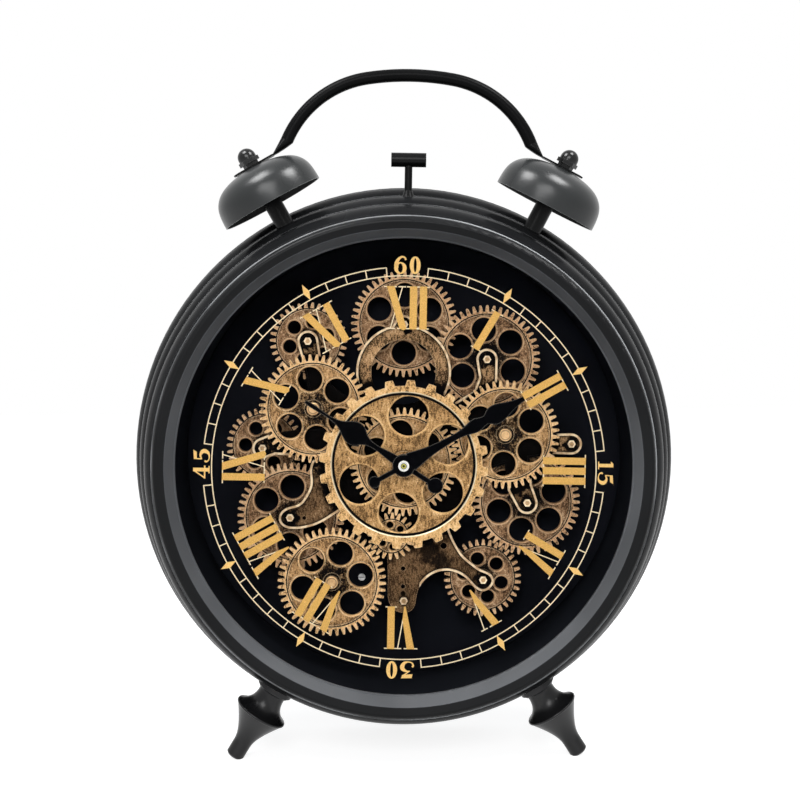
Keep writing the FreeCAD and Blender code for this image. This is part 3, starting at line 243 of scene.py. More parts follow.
def paint_group():
    tree, given = new_group("satin_paint", (
        ("Shade", "Color", (0.03, 0.03, 0.03, 1)), ("Edge", "Color", (0.1, 0.1, 0.1, 1)),
        ("Gloss", "Float", 0.4)),
        (("Colour", "Color"), ("Roughness", "Float"), ("Height", "Float")))
    point = object_point(tree)
    fine = noise(tree, point, 1400.0, 2.0, 0.5)
    slow = noise(tree, point, 16.0, 2.0, 0.5)
    edge = edge_mask(tree, 0.0012, 0.01, 0.25)
    hidden = add(tree, "AmbientOcclusion", {"Distance": 0.004}, samples=4).outputs["AO"]
    colour = mix(tree, calc(tree, "MULTIPLY", edge, 0.6), given["Shade"], given["Edge"])
    tint = fade(tree, slow, 0.35, 0.65, 0.88, 1.12)
    level = add(tree, "CombineColor", {0: tint, 1: tint, 2: tint}).outputs[0]
    colour = mix(tree, 1.0, colour, level, "MULTIPLY")
    # Painted shade: hidden corners go nearly black
    colour = mix(tree, fade(tree, hidden, 0.4, 0.85, 0.85, 0.0), colour, (0.001, 0.001, 0.001, 1))
    swing = calc(tree, "MULTIPLY", calc(tree, "SUBTRACT", slow, 0.5), 0.12)
    rough = calc(tree, "ADD", given["Gloss"], swing)
    return close_group(tree, Colour=colour, Roughness=rough, Height=fine)


# Plain metal: turned or drawn stock with fine marks, and painted shade in hidden corners

def metal_group():
    tree, given = new_group("turned_metal", (
        ("Bright", "Color", (0.6, 0.6, 0.6, 1)), ("Tarnish", "Color", (0.3, 0.3, 0.3, 1)),
        ("Gloss", "Float", 0.3)),
        (("Colour", "Color"), ("Roughness", "Float"), ("Height", "Float")))
    point = object_point(tree)
    marks = noise(tree, point, 2200.0, 2.0, 0.6)
    cloud = noise(tree, point, 300.0, 3.0, 0.6)
    tarnished = fade(tree, cloud, 0.4, 0.7)
    colour = mix(tree, tarnished, given["Bright"], given["Tarnish"])
    hidden = add(tree, "AmbientOcclusion", {"Distance": 0.0015}, samples=4).outputs["AO"]
    # Painted shade: hidden corners go nearly black
    colour = mix(tree, fade(tree, hidden, 0.4, 0.9, 0.8, 0.0), colour, (0.01, 0.008, 0.006, 1))
    rough = calc(tree, "ADD", given["Gloss"], calc(tree, "MULTIPLY", tarnished, 0.15))
    return close_group(tree, Colour=colour, Roughness=rough, Height=marks)


# Printed gold: foil-like ink with darker and lighter specks

def print_group():
    tree, given = new_group("printed_gold", (
        ("Ink", "Color", (0.8, 0.5, 0.14, 1)), ("Dark", "Color", (0.5, 0.28, 0.07, 1)),
        ("Light", "Color", (0.95, 0.75, 0.4, 1))),
        (("Colour", "Color"), ("Roughness", "Float")))
    point = object_point(tree)
    speck = noise(tree, point, 1500.0, 3.0, 0.7)
    colour = mix(tree, fade(tree, speck, 0.35, 0.6, 0.7, 0.0), given["Ink"], given["Dark"])
    colour = mix(tree, fade(tree, speck, 0.55, 0.75, 0.0, 0.6), colour, given["Light"])
    return close_group(tree, Colour=colour, Roughness=fade(tree, speck, 0.3, 0.7, 0.38, 0.55))


bronze = bronze_group()
paint = paint_group()
metal = metal_group()
printed = print_group()


def wear(node, material):
    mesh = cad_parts[node].data
    mesh.materials.clear()
    mesh.materials.append(material)
    for polygon in mesh.polygons:
        polygon.material_index = 0


# Painted parts: colour, edge colour, roughness and how strongly the surface mirrors

CASE_BLACK = (0.0085, 0.0088, 0.0094)
CASE_EDGE = (0.10, 0.105, 0.115)
HARDWARE_BLACK = (0.0040, 0.0041, 0.0043)
HAND_BLACK = (0.0030, 0.0032, 0.0040)
BOX_BLACK = (0.020, 0.020, 0.022)
PAINT_SKIN = (0.06, 0.0002)
PAINTS = {
    "rear_leg": (CASE_BLACK, (0.06, 0.06, 0.07), 0.40, 0.15),
    "left_bell": ((0.015, 0.0165, 0.017), (0.10, 0.11, 0.11), 0.28, 0.33),
    "right_bell": ((0.015, 0.0165, 0.017), (0.10, 0.11, 0.11), 0.28, 0.33),
    "bell_stems": (HARDWARE_BLACK, (0.05, 0.05, 0.05), 0.26, 0.10),
    "bell_nuts": (HARDWARE_BLACK, (0.07, 0.07, 0.07), 0.24, 0.20),
    "acorn_nuts": (HARDWARE_BLACK, (0.06, 0.06, 0.06), 0.20, 0.30),
    "carry_handle": (HARDWARE_BLACK, (0.05, 0.05, 0.05), 0.28, 0.03),
    "hammer_rod": (HARDWARE_BLACK, (0.05, 0.05, 0.05), 0.28, 0.08),
    "hammer_head": (HARDWARE_BLACK, (0.08, 0.08, 0.08), 0.28, 0.10),
    "left_foot": ((0.007, 0.007, 0.0075), (0.08, 0.08, 0.08), 0.28, 0.26),
    "right_foot": ((0.007, 0.007, 0.0075), (0.08, 0.08, 0.08), 0.28, 0.26),
    "foot_collars": ((0.010, 0.010, 0.011), (0.07, 0.07, 0.07), 0.30, 0.24),
    "inner_liner": ((0.009, 0.010, 0.013), (0.015, 0.015, 0.017), 0.50, 0.01),
    "dial_plate": ((0.010, 0.011, 0.015), (0.014, 0.014, 0.017), 0.60, 0.0),
    "minute_hand": (HAND_BLACK, (0.26, 0.24, 0.21), 0.50, 0.0),
    "hour_hand": (HAND_BLACK, (0.26, 0.24, 0.21), 0.50, 0.0),
    "wheel_spacers": ((0.005, 0.004, 0.004), (0.02, 0.02, 0.02), 0.50, 0.05),
    "movement_case": (BOX_BLACK, (0.06, 0.06, 0.06), 0.50, 0.40),
    "movement_cover": (BOX_BLACK, (0.06, 0.06, 0.06), 0.55, 0.40),
    "drive_case": (BOX_BLACK, (0.06, 0.06, 0.06), 0.50, 0.40),
    "drive_cover": (BOX_BLACK, (0.06, 0.06, 0.06), 0.55, 0.40),
    "battery_tray": (BOX_BLACK, (0.06, 0.06, 0.06), 0.50, 0.40),
    "battery_door": (BOX_BLACK, (0.06, 0.06, 0.06), 0.55, 0.40),
    "set_knob": ((0.030, 0.030, 0.032), (0.08, 0.08, 0.08), 0.45, 0.40),
    "minute_wheel": ((0.60, 0.60, 0.57), (0.70, 0.70, 0.70), 0.45, 0.50),
    "switch_slider": ((0.62, 0.62, 0.60), (0.75, 0.75, 0.75), 0.45, 0.50),
    "battery_cells": ((0.20, 0.22, 0.25), (0.40, 0.40, 0.40), 0.35, 0.50),
    "glass_gasket": ((0.006, 0.006, 0.006), (0.01, 0.01, 0.01), 0.80, 0.05),
}


def coat_of(tree, colour, edge, gloss):
    return place_group(tree, paint, Shade=(*colour, 1), Edge=(*edge, 1), Gloss=gloss)


def painted(name, colour, edge, gloss, mirror):
    material, tree = new_material(name)
    coat = coat_of(tree, colour, edge, gloss)
    surface(tree, {"Base Color": coat["Colour"], "Roughness": coat["Roughness"],
                   "Specular IOR Level": mirror}, coat["Height"], PAINT_SKIN)
    return material


for node, values in PAINTS.items():
    wear(node, painted(node + "_paint", *values))


# Case drum: a painted highlight in dull silver, in long patches, along the beads on its ridges

RIDGE_DEPTHS = (26.7, 53.0, 80.0)
HIGHLIGHT_GREY = (0.36, 0.37, 0.38, 1)


def highlight_line(tree, value, middle):
    """Return a mask along the line where the value, in metres, is the middle one."""
    apart = calc(tree, "ABSOLUTE", calc(tree, "SUBTRACT", value, middle))
    return fade(tree, apart, 0.0002, 0.0008, 0.8, 0.0)


def patches(tree, point, least):
    """Return how much of a painted highlight line shows, in long patches along it."""
    return fade(tree, noise(tree, point, 14.0, 2.0, 0.5), 0.38, 0.58, least, 1.0)


def case_drum_material():
    material, tree = new_material("case_drum_paint")
    point = object_point(tree)
    depth = add(tree, "SeparateXYZ", {0: point}).outputs[1]
    wear_and_highlight = 0.0
    for ridge in RIDGE_DEPTHS:
        line = highlight_line(tree, depth, (ridge - MID_DEPTH) / 1000.0)
        wear_and_highlight = calc(tree, "MAXIMUM", line, wear_and_highlight)
    # The painted highlight shows in long patches along each bead
    shown = calc(tree, "MULTIPLY", wear_and_highlight, patches(tree, point, 0.25))
    coat = coat_of(tree, CASE_BLACK, CASE_EDGE, 0.26)
    colour = mix(tree, shown, coat["Colour"], HIGHLIGHT_GREY)
    surface(tree, {"Base Color": colour, "Roughness": coat["Roughness"],
                   "Specular IOR Level": 0.015}, coat["Height"], PAINT_SKIN)
    return material


wear("case_drum", case_drum_material())


# Metal parts: bright colour, tarnished colour and roughness

METAL_SKIN = (0.1, 0.0001)
METALS = {
    "ear_nuts": ((0.90, 0.72, 0.48), (0.52, 0.36, 0.21), 0.30),
    "ear_posts": ((0.48, 0.30, 0.15), (0.28, 0.17, 0.08), 0.30),
    "wheel_posts": ((0.70, 0.62, 0.50), (0.40, 0.32, 0.22), 0.30),
    "centre_sleeve": ((0.45, 0.30, 0.16), (0.20, 0.12, 0.05), 0.40),
    "centre_tube": ((0.50, 0.32, 0.16), (0.20, 0.12, 0.05), 0.40),
    "hour_tube": ((0.75, 0.60, 0.34), (0.50, 0.36, 0.18), 0.30),
    "minute_arbor": ((0.85, 0.74, 0.48), (0.60, 0.48, 0.28), 0.30),
    "drive_shaft": ((0.55, 0.45, 0.32), (0.30, 0.22, 0.14), 0.35),
    "motor_pinion": ((0.72, 0.54, 0.28), (0.50, 0.34, 0.15), 0.35),
    "drive_motor": ((0.60, 0.60, 0.60), (0.45, 0.45, 0.45), 0.30),
    "plate_spacers": ((0.60, 0.60, 0.60), (0.40, 0.40, 0.40), 0.30),
    "rear_screws": ((0.55, 0.55, 0.56), (0.35, 0.35, 0.36), 0.30),
    "dial_screw": ((0.62, 0.62, 0.62), (0.45, 0.45, 0.44), 0.30),
}


def stock_of(tree, bright, tarnish, gloss):
    return place_group(tree, metal, Bright=(*bright, 1), Tarnish=(*tarnish, 1), Gloss=gloss)


def plain_metal(name, bright, tarnish, gloss):
    material, tree = new_material(name)
    stock = stock_of(tree, bright, tarnish, gloss)
    surface(tree, {"Base Color": stock["Colour"], "Roughness": stock["Roughness"], "Metallic": 0.9},
            stock["Height"], METAL_SKIN)
    return material


for node, values in METALS.items():
    wear(node, plain_metal(node + "_metal", *values))


# Hand nut: bright plating, olive brass on its domed middle, and a dark line between

NUT_SKIN = (0.05, 0.0001)
NUT_DOME_R = 0.0021
NUT_PLATING = ((0.96, 0.95, 0.91), (0.88, 0.86, 0.78), 0.14)
NUT_BRASS = ((0.62, 0.58, 0.10), (0.30, 0.27, 0.04), 0.3)


def hand_nut_material():
    material, tree = new_material("hand_nut_metal")
    plating = stock_of(tree, *NUT_PLATING)
    brass = stock_of(tree, *NUT_BRASS)
    away = distance_from(tree, object_point(tree), AXIS)
    middle = mix(tree, fade(tree, away, 0.0007, 0.0011), (0.02, 0.018, 0.008, 1), brass["Colour"])
    colour = mix(tree, fade(tree, away, 0.0018, 0.0022, 1.0, 0.0), plating["Colour"], middle)
    apart = calc(tree, "ABSOLUTE", calc(tree, "SUBTRACT", away, NUT_DOME_R))
    ring = fade(tree, apart, 0.0002, 0.0004, 0.85, 0.0)
    colour = mix(tree, ring, colour, (0.03, 0.028, 0.010, 1))
    surface(tree, {"Base Color": colour, "Roughness": plating["Roughness"], "Metallic": 0.6},
            plating["Height"], NUT_SKIN)
    return material


wear("hand_nut", hand_nut_material())


# Caps of the three front axles: bronze domes with a brown ring

FRONT_AXLES = (polar(81.6, 16.05), polar(81.6, 150.4), (-54.5, -94.6))
CAP_RING_R = 0.0036
CAP_BRONZE = ((0.78, 0.51, 0.25), (0.60, 0.35, 0.155), 0.32)


def post_cap_material():
    material, tree = new_material("post_caps_metal")
    point = object_point(tree)
    dome = stock_of(tree, *CAP_BRONZE)
    ring = 0.0
    for x, z in FRONT_AXLES:
        away = distance_from(tree, point, on_body(x, 0.0, z))
        from_ring = calc(tree, "ABSOLUTE", calc(tree, "SUBTRACT", away, CAP_RING_R))
        ring = calc(tree, "MAXIMUM", fade(tree, from_ring, 0.0002, 0.0006, 0.75, 0.0), ring)
    colour = mix(tree, ring, dome["Colour"], (0.16, 0.085, 0.04, 1))
    surface(tree, {"Base Color": colour, "Roughness": dome["Roughness"], "Metallic": 0.5},
            dome["Height"], METAL_SKIN)
    return material


wear("post_caps", post_cap_material())


# Wheels: centre, teeth, angle of the first window, tone, specks all over, painted shade at the hub

WHEELS = {
    "right_wheel": (FRONT_AXLES[0], 48, 28.0, "front", 0.02, 0.90),
    "left_wheel": (FRONT_AXLES[1], 48, 37.6, "front", 0.02, 0.85),
    "lower_left_wheel": (FRONT_AXLES[2], 48, 13.8, "front", 0.03, 0.90),
    "centre_wheel": ((0.0, 0.0), 48, 37.5, "front", 0.00, 0.05),
    "drive_pinion": (polar(58.7, 261.5), 20, 38.0, "front", 0.02, 0.30),
    "upper_right_wheel": ((63.8, 80.6), 48, 36.0, "rear", 0.02, 1.10),
    "lower_right_wheel": ((97.2, -31.3), 48, 21.0, "rear", 0.02, 1.05),
    "small_lower_wheel": ((63.73, -92.44), 34, 46.0, "rear", 0.01, 1.00),
    "low_left_wheel": ((-88.3, -46.0), 48, 28.0, "rear", 0.00, 0.90),
    "small_upper_wheel": ((-76.5, 92.5), 34, 17.5, "rear", -0.02, 0.80),
    "top_wheel": ((-1.4, 106.8), 48, 30.0, "rear", 0.00, 0.70),
    "small_left_wheel": ((-110.6, 8.1), 34, 58.5, "rear", 0.00, 0.80),
}
# Groove radius, window circle, window radius and outer reach for each tooth count
WHEEL_FACE = {48: (35.3, 23.0, 9.5, 41.0), 34: (25.4, 15.4, 5.2, 29.0), 20: (13.2, 8.7, 2.6, 17.0)}
# Sunk face, rubbed rim and collars, specks, worn edges
TONES = {
    "front": ((0.52, 0.300, 0.130, 1), (0.74, 0.45, 0.205, 1),
              (0.150, 0.080, 0.035, 1), (0.95, 0.70, 0.42, 1)),
    # The rear tone is a darker copy of the front one, as painted shade on the wheels that lie
    # deeper
    "rear": ((0.29, 0.162, 0.082, 1), (0.56, 0.325, 0.165, 1),
             (0.060, 0.033, 0.019, 1), (0.80, 0.57, 0.35, 1)),
}
CAST_SKIN = (0.3, 0.0003)
BRONZE_METALLIC = 0.4
BRONZE_MIRROR = 0.05


def cast_surface(tree, cast):
    surface(tree, {"Base Color": cast["Colour"], "Roughness": cast["Roughness"],
                   "Metallic": BRONZE_METALLIC, "Specular IOR Level": BRONZE_MIRROR},
            cast["Height"], CAST_SKIN)


for node, ((x, z), teeth, phase, tone, amount, hub) in WHEELS.items():
    groove, circle, window, reach = WHEEL_FACE[teeth]
    face, light, speck, edge = TONES[tone]
    material, tree = new_material(node + "_bronze")
    cast_surface(tree, place_group(tree, bronze, **{
        "Centre": on_body(x, 0.0, z), "Reach": reach / 1000.0, "Groove": groove / 1000.0,
        "Groove half": 0.00042, "Circle": circle / 1000.0, "Window": window / 1000.0,
        "Phase": math.radians(phase) - BODY_LEAN, "Base": face, "Light": light, "Speck": speck,
        "Worn": edge, "Amount": amount, "Hub": hub, "Corner": 0.007, "Shut": 0.40, "Open": 0.84}))
    wear(node, material)


# Main gear: rubbed rim and teeth, speckled sunk web, a painted highlight on the slope and a black
# line of painted shade between

# The black line inside the rim is painted shade where the web sinks
GEAR_SHADE_LINE_R = 0.0541
GEAR_SLOPE_R = 0.0555


def main_gear_material():
    material, tree = new_material("main_gear_bronze")
    cast = place_group(tree, bronze, **{
        "Centre": AXIS, "Reach": 0.045, "Groove": GEAR_SHADE_LINE_R, "Groove half": 0.001,
        "Circle": 0.0373, "Window": 0.0152, "Phase": math.radians(25.0) - BODY_LEAN,
        "Collar": 0.0016, "Base": (0.48, 0.275, 0.110, 1), "Light": (0.68, 0.405, 0.165, 1),
        "Speck": (0.13, 0.070, 0.028, 1), "Worn": (0.95, 0.70, 0.40, 1), "Amount": 0.03,
        "Hub": 0.0, "Corner": 0.003, "Shut": 0.35, "Open": 0.8})
    away = distance_from(tree, object_point(tree), AXIS)
    # Painted highlight: the slope inside the rim is drawn a bright cream
    slope = calc(tree, "ABSOLUTE", calc(tree, "SUBTRACT", away, GEAR_SLOPE_R))
    slope_highlight = fade(tree, slope, 0.0003, 0.0006, 0.9, 0.0)
    colour = mix(tree, slope_highlight, cast["Colour"], (1.0, 0.88, 0.62, 1))
    cast_surface(tree, {"Colour": colour, "Roughness": cast["Roughness"], "Height": cast["Height"]})
    return material


wear("main_gear", main_gear_material())


# Bridge: brown body, bright raised edge with a painted highlight, black spots, painted shade round
# the nuts and in corners, and painted shadow where the main gear and the front wheels cover it

BRIDGE_SKIN = (0.4, 0.0004)
# The axles of the rear wheels, and the ear without a wheel at the right
REAR_AXLES = [axle for axle, _, _, tone, _, _ in WHEELS.values() if tone == "rear"]
EAR_PLACES = REAR_AXLES + [(131.0, 15.5)]
# Depths at which the raised edge starts and is full
RIB_DEPTHS = (46.1, 45.6)
# Distances in metres from an axle, over which the painted shadow and shade fade out
GEAR_SHADOW = (0.066, 0.073)
WHEEL_SHADOW = (0.041, 0.045)
NUT_SHADE = (0.0055, 0.0085)
RIB_GEAR_SHADOW = (0.060, 0.064)
RIB_WHEEL_SHADOW = (0.040, 0.042)
# The front wheels' painted shadow reaches this much lower too, as it falls from above
SHADOW_DROPS = (0.0, 6.0)
# Across, up and reach
BLACK_SPOTS = ((21.0, -70.0, 9.0), (30.0, -78.0, 8.0), (14.0, -64.0, 6.0))
SPOT_BLUR = 3.0


def bridge_material():
    material, tree = new_material("bridge_bronze")
    point = object_point(tree)
    parts = add(tree, "SeparateXYZ", {0: point}).outputs
    rib_start, rib_full = ((depth - MID_DEPTH) / 1000.0 for depth in RIB_DEPTHS)
    rib = fade(tree, parts[1], rib_start, rib_full)
    cloud = noise(tree, point, 160.0, 4.0, 0.65)
    # The body and its flecks are darker towards the bottom
    upper = fade(tree, parts[2], (AXIS_HEIGHT - 30.0) / 1000.0, (AXIS_HEIGHT + 20.0) / 1000.0)
    body = mix(tree, upper, (0.20, 0.115, 0.055, 1), (0.50, 0.300, 0.145, 1))
    flecks = mix(tree, upper, (0.62, 0.42, 0.24, 1), (0.95, 0.70, 0.42, 1))
    cast = place_group(tree, bronze, Centre=AXIS, Reach=0.090, Base=body,
                       Speck=(0.035, 0.020, 0.011, 1), Worn=flecks, Amount=0.02, Hub=0.3,
                       Corner=0.006, Shut=0.72, Open=0.97)
    away = distance_from(tree, point, AXIS)
    wobble = fade(tree, cloud, 0.3, 0.7, -0.003, 0.003)
    # Painted shadow: black where the main gear covers the bridge, on its body and its raised edge
    shade_and_spots = fade(tree, calc(tree, "ADD", away, wobble), *GEAR_SHADOW, 1.0, 0.0)
    rib_shadow = fade(tree, calc(tree, "ADD", away, wobble), *RIB_GEAR_SHADOW, 1.0, 0.0)
    # Painted shadow under each front wheel, reaching lower as it falls from above
    for x, z in FRONT_AXLES:
        for drop in SHADOW_DROPS:
            apart = distance_from(tree, point, on_body(x, 0.0, z - drop))
            wheel_shadow = fade(tree, calc(tree, "ADD", apart, wobble), *WHEEL_SHADOW, 1.0, 0.0)
            shade_and_spots = calc(tree, "MAXIMUM", shade_and_spots, wheel_shadow)
        apart = distance_from(tree, point, on_body(x, 0.0, z))
        rib_shadow = calc(tree, "MAXIMUM", rib_shadow, fade(tree, apart, *RIB_WHEEL_SHADOW, 1.0, 0.0))
    # Painted shade round the nuts
    for x, z in EAR_PLACES:
        apart = calc(tree, "ADD", distance_from(tree, point, on_body(x, 0.0, z)), wobble)
        shade_and_spots = calc(tree, "MAXIMUM", shade_and_spots, fade(tree, apart, *NUT_SHADE, 1.0, 0.0))
    for x, z, reach in BLACK_SPOTS:
        apart = calc(tree, "ADD", distance_from(tree, point, on_body(x, 0.0, z)), wobble)
        full, clear = (reach - SPOT_BLUR) / 1000.0, (reach + SPOT_BLUR) / 1000.0
        shade_and_spots = calc(tree, "MAXIMUM", shade_and_spots, fade(tree, apart, full, clear, 0.9, 0.0))
    # The raised edge is rubbed bright, with a painted highlight along it, and painted shadow where
    # it is covered
    bright = mix(tree, fade(tree, cloud, 0.40, 0.62), (0.88, 0.69, 0.45, 1), (0.55, 0.36, 0.20, 1))
    colour = mix(tree, shade_and_spots, cast["Colour"], BLACK_DIRT_AND_SHADE)
    edge = mix(tree, rib_shadow, bright, BLACK_DIRT_AND_SHADE)
    colour = mix(tree, rib, colour, edge)
    rough = fade(tree, rib, 0.0, 1.0, 0.6, 0.35)
    surface(tree, {"Base Color": colour, "Metallic": BRONZE_METALLIC, "Roughness": rough,
                   "Specular IOR Level": 0.02}, cast["Height"], BRIDGE_SKIN)
    return material


wear("bridge_plate", bridge_material())


# Bezel: satin charcoal, a paler grey band of painted reflection on the slope inside its crest, and
# a painted highlight along the outer rim

# The band's paler grey is a painted reflection on its slope
BAND_OUTER_R = (0.1788, 0.1796)
RIM_HIGHLIGHT_R = 0.1890
BAND_SHEEN_GREY = (0.076, 0.079, 0.084)
BAND_SHEEN_EDGE = (0.16, 0.17, 0.19)


def bezel_material():
    material, tree = new_material("bezel_paint")
    point = object_point(tree)
    away = distance_from(tree, point, AXIS)
    coat = coat_of(tree, CASE_BLACK, CASE_EDGE, 0.32)
    band_sheen = coat_of(tree, BAND_SHEEN_GREY, BAND_SHEEN_EDGE, 0.32)
    # Painted reflection: the band inside the crest is drawn paler grey
    inside = fade(tree, away, *BAND_OUTER_R, 1.0, 0.0)
    colour = mix(tree, inside, coat["Colour"], band_sheen["Colour"])
    # Painted highlight along the outer rim, in long patches
    line = highlight_line(tree, away, RIM_HIGHLIGHT_R)
    shown = calc(tree, "MULTIPLY", line, patches(tree, point, 0.3))
    colour = mix(tree, shown, colour, HIGHLIGHT_GREY)
    surface(tree, {"Base Color": colour, "Roughness": coat["Roughness"],
                   "Specular IOR Level": 0.08}, coat["Height"], PAINT_SKIN)
    return material


wear("front_bezel", bezel_material())


# Glass: clear from the front, with a weak mirror that grows towards a grazing view

def glass_material():
    material, tree = new_material("clear_glass")
    grazing = add(tree, "LayerWeight", {"Blend": 0.2}).outputs["Fresnel"]
    share = fade(tree, grazing, 0.05, 0.6, 0.0, 0.45)
    surface(tree, {"Base Color": (0.010, 0.011, 0.011, 1), "Roughness": 0.02, "Alpha": share})
    return material


wear("front_glass", glass_material())


# Print on the back of the glass

PRINT_DEPTH = 11.02
PRINT_T = 0.05
# Strokes that cross lie a hair apart, so that neither shows through the other
INK_STEP = 0.002
INK_LEVELS = 7
# The fine cream lines lie behind the gold
UNDER_INK = 0.08
# The print sits a little low and turned on the glass, and is a little large
PRINT_TURN = 0.07
PRINT_SHIFT = 0.08
PRINT_DROP = 1.25
PRINT_SCALE = 1.004


def printed_ink(name, ink, dark, light):
    material, tree = new_material(name)
    foil = place_group(tree, printed, Ink=(*ink, 1), Dark=(*dark, 1), Light=(*light, 1))
    surface(tree, {"Base Color": foil["Colour"], "Roughness": foil["Roughness"], "Metallic": 0.15,
                   "Specular IOR Level": 0.2})
    return material


GOLD = printed_ink("print_gold", (0.79, 0.456, 0.118), (0.52, 0.29, 0.065), (0.93, 0.68, 0.31))
# A brighter copy of the gold for the marks and minute numbers, as painted light against the bezel's
# shade on them
MARK_GOLD_LIT = printed_ink("print_mark_gold", (1.0, 0.64, 0.22), (0.75, 0.46, 0.14), (1.0, 0.80, 0.44))
CREAM = printed_ink("print_cream", (0.95, 0.80, 0.54), (0.72, 0.54, 0.30), (1.0, 0.94, 0.76))


def print_piece(name, polygons, material, behind=0.0):
    """Make one flat printed piece from polygons of (x, z) in millimetres."""
    shape = bmesh.new()
    turn = math.radians(PRINT_TURN)
    for index, polygon in enumerate(polygons):
        depth = PRINT_DEPTH + behind + INK_STEP * (index % INK_LEVELS)
        corners = []
        for x, z in polygon:
            turned_x = PRINT_SCALE * (x * math.cos(turn) + z * math.sin(turn)) + PRINT_SHIFT
            turned_z = PRINT_SCALE * (z * math.cos(turn) - x * math.sin(turn)) - PRINT_DROP
            corners.append(shape.verts.new(on_body(turned_x, depth, turned_z)))
        shape.faces.new(corners)
    grown = bmesh.ops.extrude_face_region(shape, geom=shape.faces[:])["geom"]
    moved = [item for item in grown if isinstance(item, bmesh.types.BMVert)]
    bmesh.ops.translate(shape, verts=moved, vec=(0.0, PRINT_T / 1000.0, 0.0))
    bmesh.ops.recalc_face_normals(shape, faces=shape.faces[:])
    mesh = bpy.data.meshes.new(name)
    shape.to_mesh(mesh)
    shape.free()
    mesh.materials.append(material)
    made = bpy.data.objects.new(name, mesh)
    bpy.context.scene.collection.objects.link(made)
    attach(made, "case")


def on_dial(clock_angle, radius):
    """Return a function from block coordinates (right, outward) to the dial."""
    turn = math.radians(clock_angle)

    def turned(right, out):
        far = radius + out
        return (far * math.sin(turn) + right * math.cos(turn),
                far * math.cos(turn) - right * math.sin(turn))
    return turned


def arc_band(inner, outer, start, end, step=1.5):
    """Return quads of a flat band between two clock angles."""
    count = max(1, round((end - start) / step))
    quads = []
    for k in range(count):
        a = start + (end - start) * k / count
        b = start + (end - start) * (k + 1) / count
        quads.append([on_dial(a, inner)(0, 0), on_dial(b, inner)(0, 0),
                      on_dial(b, outer)(0, 0), on_dial(a, outer)(0, 0)])
    return quads


TRACK_INNER = 145.0
TRACK_OUTER = 151.5
LINE = 0.42
# The outer line leaves room for the number, in degrees to each side of it
NUMBER_GAP = 6.0
# Radius at the foot, the middle and the tip, and half the width
DIAMOND = (144.8, 151.3, 158.0, 2.5)


def minute_track():
    quads = arc_band(TRACK_INNER - LINE, TRACK_INNER + LINE, 0.0, 360.0)
    for quarter in range(4):
        start = 90.0 * quarter
        quads += arc_band(TRACK_OUTER - LINE, TRACK_OUTER + LINE,
                          start + NUMBER_GAP, start + 90.0 - NUMBER_GAP)
    for minute in range(60):
        if minute % 15:
            at = on_dial(6.0 * minute, 0.0)
            quads.append([at(-LINE, TRACK_INNER), at(LINE, TRACK_INNER),
                          at(LINE, TRACK_OUTER + LINE), at(-LINE, TRACK_OUTER + LINE)])
    return quads


def diamonds():
    foot, middle, tip, half = DIAMOND
    made = []
    for mark in range(12):
        if mark % 3:
            at = on_dial(30.0 * mark, 0.0)
            made.append([at(0, foot), at(half, middle), at(0, tip), at(-half, middle)])
    return made


# Roman letters, in millimetres: (bold strokes, fine strokes, width), feet at height 0

HEIGHT = 32.3
STEM = 5.4
SERIF = 0.84


def block(left, right, low, high):
    return [(left, low), (right, low), (right, high), (left, high)]


def foot_serif(left, right):
    return block(left, right, 0, SERIF)


def head_serif(left, right):
    return block(left, right, HEIGHT - SERIF, HEIGHT)


LETTERS = {
    "I": ([block(0, STEM, 0, HEIGHT)],
          [foot_serif(-1.6, STEM + 1.6), head_serif(-2.3, STEM + 2.3)],
          STEM),
    "V": ([[(0, HEIGHT), (7.0, 0), (8.2, 0), (9.3, 10), (5.7, HEIGHT)]],
          [[(12.3, HEIGHT), (13.1, HEIGHT), (8.7, 6.0), (8.3, 8.0)],
           head_serif(-2.3, 8.0), head_serif(9.8, 15.2)],
          13.1),
    "X": ([[(0, HEIGHT), (10.0, 0.4), (12.9, -0.9), (15.4, 0.4), (5.8, HEIGHT)]],
          [[(11.6, HEIGHT), (12.4, HEIGHT), (3.4, 0), (2.6, 0)],
           head_serif(-2.3, 7.6), head_serif(8.8, 14.4),
           foot_serif(-0.2, 6.6), foot_serif(8.2, 17.2)],
          15.4),
}
HOURS = ("XII", "I", "II", "III", "IV", "V", "VI", "VII", "VIII", "IX", "X", "XI")
LETTER_GAP = 2.1
NUMERAL_R = 104.8
# The numeral at 4 o'clock is printed 3 mm too far on, with its V the wrong way round
ODD_HOUR = 4
ODD_SHIFT = 3.1


def hour_numerals():
    bold, fine = [], []
    for hour, word in enumerate(HOURS):
        width = sum(LETTERS[letter][2] for letter in word) + LETTER_GAP * (len(word) - 1)
        at = on_dial(30.0 * hour, NUMERAL_R)
        start = -width / 2 + (ODD_SHIFT if hour == ODD_HOUR else 0.0)
        for letter in word:
            thick, thin, advance = LETTERS[letter]
            mirrored = hour == ODD_HOUR and letter == "V"
            for group, into in ((thick, bold), (thin, fine)):
                for polygon in group:
                    into.append([at(start + (advance - x if mirrored else x), y)
                                 for x, y in polygon])
            start += advance + LETTER_GAP
    return bold, fine


